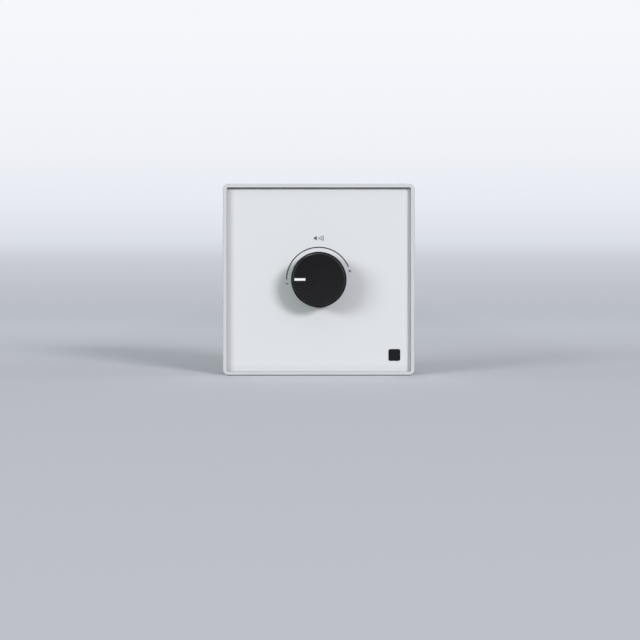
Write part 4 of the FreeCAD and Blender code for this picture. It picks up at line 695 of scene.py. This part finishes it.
tray_low, tray_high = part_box("mounting_chassis")
side_out = tray_high.x
bend = side_out - BEND_RADIUS
run_end = side_out - FLANGE_END
notch = run_end + BEND_RELIEF
quarter = [(bend, run_end), (bend, notch), (side_out, notch), (side_out, side_out), (notch, side_out),
           (notch, bend), (run_end, bend)]
outer_corner = quarter.index((side_out, side_out))
outline = []
for turn in range(4):
    outline += [(across, 0, up) for across, up in quarter]
    quarter = [(-up, across) for across, up in quarter]
chassis = bmesh.new()
start_outline(chassis, outline, [(outer_corner + len(quarter) * turn, SHEET_CORNER, 5)
                                 for turn in range(4)])
bend_lines = [line for line in chassis.edges if line.calc_length() > LONG_SHARE * 2 * run_end]
lay_ring(chassis, (0, 0, 0), BUSHING_HOLE, 48)
lay_rectangle(chassis, KEY_HOLE, KEY_HOLE_SIZE)
for across, up in ((1, 0), (-1, 0), (0, 1), (0, -1)):
    middle = Vector((across, 0, up)) * WALL_SLOT_PLACE
    stretch = Vector((abs(across), 0, abs(up))) * (WALL_SLOT_LENGTH - WALL_SLOT_WIDTH) / 2
    for point in ends_of(lay_ring(chassis, middle, WALL_SLOT_WIDTH / 2)):
        point.co += stretch if (point.co - middle).dot(stretch) > 0 else -stretch
for across, up in FOUR_CORNERS:
    lay_ring(chassis, (across * SCREW_PLACE, 0, up * SCREW_PLACE), SCREW_HOLE, 24)
fill_flat(chassis, chassis.edges[:], BACKWARD)
for line in bend_lines:
    first, second = line.verts
    middle = (first.co + second.co) / 2
    outward = middle.normalized()
    along = outward.cross(BACKWARD)
    bent = bmesh.ops.spin(chassis, geom=[line, first, second], axis=along, angle=-QUARTER_TURN,
                          cent=middle - Vector((0, BEND_RADIUS, 0)), steps=BEND_STEPS)["geom_last"]
    top = edges_in(bent)[0]
    feet = [chassis.verts.new((point.co.x, tray_low.y, point.co.z)) for point in top.verts]
    flange = [top, chassis.edges.new(feet)] + [chassis.edges.new(pair) for pair in zip(top.verts, feet)]
    for side in SIDES:
        window = outward * side_out + along * side * NIB_PLACE - Vector((0, NIB_DEPTH, 0))
        flange += lay_rectangle(chassis, window, [abs(along.x) * NIB_WINDOW.x, NIB_WINDOW.y,
                                                  abs(along.z) * NIB_WINDOW.x])
    fill_flat(chassis, flange, outward)
close_up(chassis)
if next(face for face in chassis.faces if abs(face.normal.y) > NEARLY_SQUARE).normal.y < 0:
    bmesh.ops.reverse_faces(chassis, faces=chassis.faces)
bmesh.ops.solidify(chassis, geom=chassis.faces[:], thickness=SHEET)
bmesh.ops.recalc_face_normals(chassis, faces=chassis.faces)
chassis_finish = metal_finish("chassis_steel", drawn, (0.54, 0.55, 0.56), 0.42, grain=0.1 * MM,
                              mottle=0.15, patches=0.18, relief=1.5e-6)
finish_piece(chassis, "chassis_tray", "chassis", "chassis_steel", chassis_finish, "mounting_chassis",
             eased=TRAY_EDGE)

# Bushing, nut and washer: turned brass, nickel plated. The potentiometer's bushing goes through the
# chassis and is clamped there by the nut over a toothed washer.
coat(metal_finish("nickel_plate", turned, (0.66, 0.64, 0.60), 0.22, grain=0.09 * MM,
                  mottle=0.08, patches=0.1, relief=1.5e-6),
     "bushing_nut", "bushing_lock_washer", "pot_bushing")

# Shaft and circlip: a turned aluminium shaft with a flat for the knob, kept in the bushing by a
# circlip stamped from spring steel.
coat(metal_finish("shaft_alloy", turned, (0.68, 0.68, 0.69), 0.28, grain=0.08 * MM,
                  mottle=0.06, patches=0.1, relief=2e-6), "pot_shaft")
coat(spring_finish, "shaft_circlip")

# Potentiometer: a can drawn from tinned sheet over a laminate wafer that carries the carbon tracks.
# Riveted terminals lead out of it below. A moulded rotor turns a bronze wiper over the tracks.
WEAVE_SCALE, WEAVE_WANDER, WEAVE_HIGH = 0.314, 0.4, 1.6
LAMINATE_CLOUDS = 130.0


def woven_glass(group, where, density):
    """Give laminate the square weave of the cloth in it."""
    waves = reckon(group, "MULTIPLY", density, WEAVE_SCALE)
    thread = {"Vector": where, "Scale": waves, "Distortion": WEAVE_WANDER}
    warp, weft = (add_node(group, "TexWave", thread, bands_direction=way).outputs["Fac"]
                  for way in ("X", "Z"))
    weave = reckon(group, "MULTIPLY", warp, weft)
    both = reckon(group, "ADD", weave, noise(group, where, LAMINATE_CLOUDS, 3.0))
    return grade(group, both, end=WEAVE_HIGH), weave


woven = build_surface("woven_laminate", woven_glass)
tinned_finish = metal_finish("tinned_brass", drawn, (0.68, 0.67, 0.64), 0.30, grain=0.1 * MM,
                             mottle=0.14, patches=0.16)
bronze_finish = metal_finish("contact_bronze", drawn, (0.70, 0.47, 0.27), 0.27, grain=0.1 * MM)
coat(metal_finish("can_steel", drawn, (0.58, 0.58, 0.58), 0.33, grain=0.14 * MM, mottle=0.15),
     "pot_can")
coat(make_finish("wafer_laminate", woven, (0.28, 0.15, 0.07), mottle=0.3, roughness=0.55,
                 grain=0.4 * MM, patches=0.15, relief=3e-6), "track_wafer")
coat(make_finish("track_carbon", moulded, (0.03, 0.03, 0.032), mottle=0.3, roughness=0.34,
                 grain=0.06 * MM, patches=0.12, relief=1e-6), "resistance_tracks")
coat(tinned_finish, "pot_terminals", "terminal_rivets")
coat(make_finish("rotor_plastic", moulded, (0.60, 0.57, 0.50), mottle=0.05, roughness=0.46,
                 grain=0.15 * MM, patches=0.08), "rotor_disc")
coat(bronze_finish, "wiper")

# Circuit board: glass laminate under green solder mask, screwed to two bosses of the cover. It joins
# the potentiometer's terminals to the header through three chip resistors and two capacitors.
coat(make_finish("board_laminate", woven, (0.03, 0.14, 0.06), mottle=0.25, roughness=0.28,
                 grain=0.5 * MM, relief=3e-6), "circuit_board")
coat(make_finish("resistor_ceramic", moulded, (0.03, 0.03, 0.033), mottle=0.2, roughness=0.4,
                 grain=0.05 * MM, relief=1.5e-6), "chip_resistors")
coat(make_finish("capacitor_ceramic", moulded, (0.38, 0.27, 0.17), mottle=0.15, roughness=0.45,
                 grain=0.05 * MM, relief=1.5e-6), "filter_capacitors")

# Board and cover screws: small screws of plated steel. They hold the board to the cover's bosses and
# the cover's posts to the chassis.
screw_finish = metal_finish("screw_steel", drawn, (0.58, 0.57, 0.55), 0.30, grain=0.08 * MM,
                            patches=0.16)
coat(screw_finish, "board_screws", "cover_screws")

# Rear cover: a deep box moulded in black plastic, screwed to the back of the chassis through four
# corner posts. The header looks out of its back, over a shallow field and the mark of the gate.
COVER_CORNER, COVER_INNER_CORNER = 2.0 * MM, 1.0 * MM
COVER_EDGE, COVER_WALL = 1.0 * MM, 1.5 * MM
HEADER_MIDDLE, HEADER_OPENING = Vector((0, 0, 13.0)) * MM, Vector((14.0, 0, 8.45)) * MM
OPENING_CORNER = 0.5 * MM
POST_RADIUS, POST_HOLE, POST_HOLE_DEPTH = 2.75 * MM, 1.0 * MM, 9.0 * MM
BOSS_PLACE, COVER_BOSS_RADIUS, BOSS_HOLE = 15.5 * MM, 2.5 * MM, 0.85 * MM
FIELD_MIDDLE, FIELD_SIZE = Vector((0, 0, -9.0)) * MM, Vector((28.0, 0, 14.0)) * MM
FIELD_CORNER, FIELD_DEPTH = 1.0 * MM, 0.2 * MM
GATE_MIDDLE, GATE_RADIUS, GATE_DEPTH = Vector((0, 0, 3.2)) * MM, 1.1 * MM, 0.3 * MM
ALONG_NORMAL = 0.99
ROUND_STEPS = 32


def open_outline(mesh, middle, size, radius, y, segments=6):
    """Lay the edges of a rectangle with round corners, seen from the front, at a depth."""
    face = lay_outline(mesh, middle - size / 2, middle + size / 2, radius, y, segments)
    edges = face.edges[:]
    bmesh.ops.delete(mesh, geom=[face], context="FACES_ONLY")
    return edges


def take_face(mesh, spot, normal):
    """Remove the face nearest a spot that looks along a normal, and return the edges it leaves."""
    face = min((part for part in mesh.faces if part.normal.dot(normal) > ALONG_NORMAL),
               key=lambda part: (part.calc_center_median() - Vector(spot)).length)
    edges = face.edges[:]
    bmesh.ops.delete(mesh, geom=[face], context="FACES_ONLY")
    return edges


def spin_about(mesh, profile, middle, axis):
    """Spin a profile of distances from an axis and places along it into a closed round piece."""
    points = [mesh.verts.new(Vector(middle) + Vector((reach, 0, 0)) + Vector(axis) * place)
              for reach, place in profile]
    lines = [mesh.edges.new(pair) for pair in zip(points, points[1:])]
    bmesh.ops.spin(mesh, geom=[*points, *lines], cent=middle, axis=axis, angle=math.tau,
                   steps=ROUND_STEPS, use_merge=True)


cover_low, cover_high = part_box("rear_cover")
outer_size = Vector((cover_high.x - cover_low.x, 0, cover_high.z - cover_low.z))
inner_size = outer_size - Vector((2, 0, 2)) * COVER_WALL
inner_back = cover_high.y - COVER_WALL
cover = bmesh.new()
raise_block(cover, cover_low, cover_high, 0, cover_high.y, COVER_CORNER, COVER_EDGE, (8, 6))
back_edges = take_face(cover, (0, cover_high.y, 0), BACKWARD)
rim_edges = take_face(cover, (0, 0, 0), FORWARD)
inner_edges = open_outline(cover, Vector((0, 0, 0)), inner_size, COVER_INNER_CORNER, 0)
fill_flat(cover, rim_edges + inner_edges, FORWARD)
deep_edges = run_edges(cover, inner_edges, (0, inner_back, 0))
header_edges = open_outline(cover, HEADER_MIDDLE, HEADER_OPENING, OPENING_CORNER, cover_high.y, 3)
field_edges = open_outline(cover, FIELD_MIDDLE, FIELD_SIZE, FIELD_CORNER, cover_high.y, 4)
gate_edges = lay_ring(cover, GATE_MIDDLE + Vector((0, cover_high.y, 0)), GATE_RADIUS, 24)
fill_flat(cover, back_edges + header_edges + field_edges + gate_edges, BACKWARD)
fill_flat(cover, run_edges(cover, field_edges, (0, -FIELD_DEPTH, 0)), BACKWARD)
fill_flat(cover, run_edges(cover, gate_edges, (0, -GATE_DEPTH, 0)), BACKWARD)
fill_flat(cover, deep_edges + run_edges(cover, header_edges, (0, -COVER_WALL, 0)), FORWARD)
close_up(cover)
root = inner_back + COVER_WALL / 4
for across, up in FOUR_CORNERS:
    spin_about(cover, [(0, POST_HOLE_DEPTH), (POST_HOLE, POST_HOLE_DEPTH), (POST_HOLE, 0),
                       (POST_RADIUS, 0), (POST_RADIUS, root), (0, root)],
               (across * SCREW_PLACE, 0, up * SCREW_PLACE), BACKWARD)
board_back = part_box("circuit_board")[1].y
for side in SIDES:
    spin_about(cover, [(0, inner_back), (BOSS_HOLE, inner_back), (BOSS_HOLE, board_back),
                       (COVER_BOSS_RADIUS, board_back), (COVER_BOSS_RADIUS, root), (0, root)],
               (side * BOSS_PLACE, 0, 0), BACKWARD)
close_up(cover)
cover_finish = make_finish("cover_plastic", moulded, (0.028, 0.029, 0.032), mottle=0.12,
                           roughness=0.5, grain=0.3 * MM, relief=8e-6)
finish_piece(cover, "rear_box", "chassis", "cover_plastic", cover_finish, "rear_cover")

# Header: a shroud moulded in green plastic and soldered to the board, open at its back, where the
# plug goes in over the pins.
HEADER_CORNER, HEADER_EDGE = 0.3 * MM, 0.15 * MM
CAVITY_SIZE, CAVITY_FLOOR = Vector((11.5, 0, 5.2)) * MM, 1.2 * MM
header_low, header_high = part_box("terminal_header")
header = bmesh.new()
raise_block(header, header_low, header_high, header_low.y, header_high.y, HEADER_CORNER, HEADER_EDGE,
            (3, 2))
shroud_edges = take_face(header, (0, header_high.y, HEADER_MIDDLE.z), BACKWARD)
cavity_edges = open_outline(header, HEADER_MIDDLE, CAVITY_SIZE, OPENING_CORNER / 2, header_high.y, 2)
fill_flat(header, shroud_edges + cavity_edges, BACKWARD)
cavity_depth = header_low.y + CAVITY_FLOOR - header_high.y
fill_flat(header, run_edges(header, cavity_edges, (0, cavity_depth, 0)), BACKWARD)
close_up(header)
header_finish = make_finish("header_plastic", moulded, (0.03, 0.17, 0.06), mottle=0.08,
                            roughness=0.36, grain=0.2 * MM, patches=0.08)
finish_piece(header, "header_shroud", "chassis", "header_plastic", header_finish, "terminal_header")

# Header pins: three square pins of tinned brass, pressed through the header's floor with their
# pointed tips in its open end.
HEADER_PITCH, PIN_TIP, EASED_EDGE = 3.81 * MM, 0.28 * MM, 0.04 * MM
THREE_WAYS = (-1, 0, 1)
pins_low, pins_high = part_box("header_pins")
pin_half = (pins_high.z - pins_low.z) / 2
pins = bmesh.new()
for way in THREE_WAYS:
    ends = add_block(pins, (way * HEADER_PITCH - pin_half, pins_low.y, pins_low.z),
                     (way * HEADER_PITCH + pin_half, pins_high.y, pins_high.z))
    tips = {edge for point in ends for edge in point.link_edges
            if abs(edge.verts[0].co.y - edge.verts[1].co.y) < HAIR}
    round_off(pins, tips, PIN_TIP, 1, "EDGES")
finish_piece(pins, "pins", "chassis", "tinned_brass", tinned_finish, "header_pins", eased=EASED_EDGE)

# Plug: a terminal block moulded in green plastic. Its nose goes into the header, wires enter at its
# back through three funnels, and a well above each takes the clamp screw.
PLUG_EDGE = 0.25 * MM
NOSE_SIZE, NOSE_CORNER = Vector((11.1, 0, 4.8)) * MM, 0.3 * MM
BLOCK_FRONT, BLOCK_LOW = 21.1 * MM, 9.0 * MM
CLAMP_DEPTH = 25.2 * MM
ENTRY_HEIGHT, ENTRY_SIZE, FUNNEL = 12.5 * MM, 2.4 * MM, 0.3 * MM
CONTACT_SEAT = 2.2 * MM
CAGE_SEAT_LOW, CAGE_SEAT_HIGH = Vector((-1.35, 23.4, 10.5)) * MM, Vector((1.35, 27.0, 17.1)) * MM
WELL_RADIUS, WELL_FLOOR, PASSAGE_RADIUS = 1.55 * MM, 17.5 * MM, 1.2 * MM
FACING_UP = Matrix.Identity(4)
plug_low, plug_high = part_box("plug_housing")
plug = bmesh.new()
add_block(plug, (plug_low.x, BLOCK_FRONT, BLOCK_LOW), (plug_high.x, plug_high.y, plug_high.z))
round_off(plug, plug.edges, PLUG_EDGE, 3, "EDGES")
plug.normal_update()
block_middle = (BLOCK_FRONT + plug_high.y) / 2
top_edges = take_face(plug, (0, block_middle, plug_high.z), UPWARD)
back_edges = take_face(plug, (0, plug_high.y, HEADER_MIDDLE.z), BACKWARD)
front_edges = take_face(plug, (0, BLOCK_FRONT, HEADER_MIDDLE.z), FORWARD)
nose_root = open_outline(plug, HEADER_MIDDLE, NOSE_SIZE, NOSE_CORNER, BLOCK_FRONT, 3)
fill_flat(plug, front_edges + nose_root, FORWARD)
nose_edges = run_edges(plug, nose_root, (0, plug_low.y - BLOCK_FRONT, 0))
mouth_size = ENTRY_SIZE + 2 * FUNNEL
for way in THREE_WAYS:
    at = Vector((way * HEADER_PITCH, 0, 0))
    add_block(plug, CAGE_SEAT_LOW + at, CAGE_SEAT_HIGH + at)
    plug.normal_update()
    middle = (CAGE_SEAT_LOW + CAGE_SEAT_HIGH) / 2 + at
    seat_front = take_face(plug, (middle.x, CAGE_SEAT_LOW.y, middle.z), FORWARD)
    seat_back = take_face(plug, (middle.x, CAGE_SEAT_HIGH.y, middle.z), BACKWARD)
    seat_top = take_face(plug, (middle.x, middle.y, CAGE_SEAT_HIGH.z), UPWARD)
    contact = lay_rectangle(plug, (at.x, plug_low.y, HEADER_MIDDLE.z), (CONTACT_SEAT, 0, CONTACT_SEAT))
    nose_edges += contact
    fill_flat(plug, seat_front + run_edges(plug, contact, (0, CAGE_SEAT_LOW.y - plug_low.y, 0)), BACKWARD)
    mouth = lay_rectangle(plug, (at.x, plug_high.y, ENTRY_HEIGHT), (mouth_size, 0, mouth_size))
    back_edges += mouth
    throat = run_edges(plug, mouth, (0, -FUNNEL, 0))
    bmesh.ops.scale(plug, verts=ends_of(throat), vec=[ENTRY_SIZE / mouth_size] * 3,
                    space=Matrix.Translation((-at.x, FUNNEL - plug_high.y, -ENTRY_HEIGHT)))
    entry = run_edges(plug, throat, (0, CAGE_SEAT_HIGH.y + FUNNEL - plug_high.y, 0))
    fill_flat(plug, seat_back + entry, FORWARD)
    well = lay_ring(plug, (at.x, CLAMP_DEPTH, plug_high.z), WELL_RADIUS, 32, FACING_UP)
    top_edges += well
    well_foot = run_edges(plug, well, (0, 0, WELL_FLOOR - plug_high.z))
    passage = lay_ring(plug, (at.x, CLAMP_DEPTH, WELL_FLOOR), PASSAGE_RADIUS, 32, FACING_UP)
    fill_flat(plug, well_foot + passage, UPWARD)
    fill_flat(plug, seat_top + run_edges(plug, passage, (0, 0, CAGE_SEAT_HIGH.z - WELL_FLOOR)), DOWNWARD)
fill_flat(plug, nose_edges, FORWARD)
fill_flat(plug, back_edges, BACKWARD)
fill_flat(plug, top_edges, UPWARD)
close_up(plug)
plug_finish = make_finish("plug_plastic", moulded, (0.035, 0.20, 0.07), mottle=0.08,
                          roughness=0.36, grain=0.2 * MM, patches=0.08, relief=2.5e-6)
finish_piece(plug, "plug_block", "plug", "plug_plastic", plug_finish, "plug_housing", eased=EASED_EDGE)
coat(bronze_finish, "plug_contacts")

# Clamp screws: small cheese-head screws of plated steel with a driver slot. Each turns in the plug
# and draws its wire cage up.
CLAMP_HEAD_RADIUS, CLAMP_HEAD_FOOT = 1.45 * MM, 17.7 * MM
CLAMP_EDGE, CLAMP_ROUNDING = 0.18 * MM, 0.3
CLAMP_SHANK_RADIUS, THREAD_DEPTH, THREAD_PITCH, THREAD_TURNS = 1.0 * MM, 0.15 * MM, 0.4 * MM, 7
SLOT_HALF_WIDTH, SLOT_DEPTH, CHEEK_SINK = 0.25 * MM, 0.8 * MM, 0.02 * MM
thread_root = CLAMP_SHANK_RADIUS - THREAD_DEPTH
cheek_radius = CLAMP_HEAD_RADIUS - HAIR
for number, way in enumerate(THREE_WAYS, 1):
    node = f"clamp_screw_{number}"
    low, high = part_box(node)
    middle = (way * HEADER_PITCH, CLAMP_DEPTH, 0)
    slot_floor = high.z - SLOT_DEPTH
    profile = [(0, low.z), (thread_root, low.z)]
    for turn in range(THREAD_TURNS):
        crest = low.z + (turn + 0.5) * THREAD_PITCH
        profile += [(CLAMP_SHANK_RADIUS, crest), (thread_root, crest + THREAD_PITCH / 2)]
    profile += [(thread_root, CLAMP_HEAD_FOOT), (CLAMP_HEAD_RADIUS - CLAMP_EDGE / 2, CLAMP_HEAD_FOOT),
                (CLAMP_HEAD_RADIUS, CLAMP_HEAD_FOOT + CLAMP_EDGE / 2), (CLAMP_HEAD_RADIUS, slot_floor),
                (0, slot_floor)]
    screw = bmesh.new()
    spin_about(screw, profile, middle, UPWARD)
    close_up(screw)
    eased_in = CLAMP_EDGE * CLAMP_ROUNDING
    profile = [(0, slot_floor - CHEEK_SINK), (cheek_radius, slot_floor - CHEEK_SINK),
               (cheek_radius, high.z - CLAMP_EDGE), (CLAMP_HEAD_RADIUS - eased_in, high.z - eased_in),
               (CLAMP_HEAD_RADIUS - CLAMP_EDGE, high.z), (0, high.z)]
    for side in SIDES:
        cheek = bmesh.new()
        spin_about(cheek, profile, middle, UPWARD)
        close_up(cheek)
        bmesh.ops.bisect_plane(cheek, geom=[*cheek.verts, *cheek.edges, *cheek.faces], dist=ON_PLANE,
                               plane_co=(0, CLAMP_DEPTH + side * SLOT_HALF_WIDTH, 0),
                               plane_no=(0, side, 0), clear_inner=True)
        bmesh.ops.holes_fill(cheek, edges=[edge for edge in cheek.edges if edge.is_boundary])
        bmesh.ops.recalc_face_normals(cheek, faces=cheek.faces)
        shaped = bpy.data.meshes.new("cheek")
        cheek.to_mesh(shaped)
        cheek.free()
        screw.from_mesh(shaped)
        bpy.data.meshes.remove(shaped)
    finish_piece(screw, f"clamp_screw_piece_{number}", node, "screw_steel", screw_finish, node)

# Wire cages: loops folded from plated steel strip, which the clamp screws draw up under the contacts
# to grip the wires. The screw's thread is cut in the top of the loop, and ridges cross its foot.
CAGE_SIDE, CAGE_END = 0.3 * MM, 0.6 * MM
CAGE_BEND, CAGE_INNER_BEND = 0.4 * MM, 0.15 * MM
CAGE_HOLE = 1.05 * MM
RIDGE_SPACING, RIDGE_HEIGHT = 0.75 * MM, 0.12 * MM
cage_finish = metal_finish("cage_steel", drawn, (0.62, 0.62, 0.61), 0.34, grain=0.1 * MM,
                           mottle=0.15, patches=0.16)
for number in range(1, 4):
    node = f"wire_cage_{number}"
    low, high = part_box(node)
    middle, size = (low + high) / 2, high - low
    inner = Vector((size.x - 2 * CAGE_SIDE, 0, size.z - 2 * CAGE_END))
    cage = bmesh.new()
    loop = open_outline(cage, middle, Vector((size.x, 0, size.z)), CAGE_BEND, high.y, 3)
    loop += open_outline(cage, middle, inner, CAGE_INNER_BEND, high.y, 2)
    fill_flat(cage, loop, BACKWARD)
    made = bmesh.ops.extrude_face_region(cage, geom=cage.faces[:], use_keep_orig=True)["geom"]
    shift(cage, made, (0, -size.y, 0))
    close_up(cage)
    outside = take_face(cage, (middle.x, middle.y, high.z), UPWARD)
    inside = take_face(cage, (middle.x, middle.y, high.z - CAGE_END), DOWNWARD)
    hole = lay_ring(cage, (middle.x, middle.y, high.z), CAGE_HOLE, 24, FACING_UP)
    fill_flat(cage, outside + hole, UPWARD)
    fill_flat(cage, inside + run_edges(cage, hole, (0, 0, -CAGE_END)), DOWNWARD)
    close_up(cage)
    for row in THREE_WAYS:
        ridge = middle.y + row * RIDGE_SPACING
        add_block(cage, (middle.x - inner.x / 2, ridge - RIDGE_HEIGHT, low.z + CAGE_END / 2),
                  (middle.x + inner.x / 2, ridge + RIDGE_HEIGHT, low.z + CAGE_END + RIDGE_HEIGHT))
    bmesh.ops.recalc_face_normals(cage, faces=cage.faces)
    finish_piece(cage, f"wire_cage_piece_{number}", node, "cage_steel", cage_finish, node)
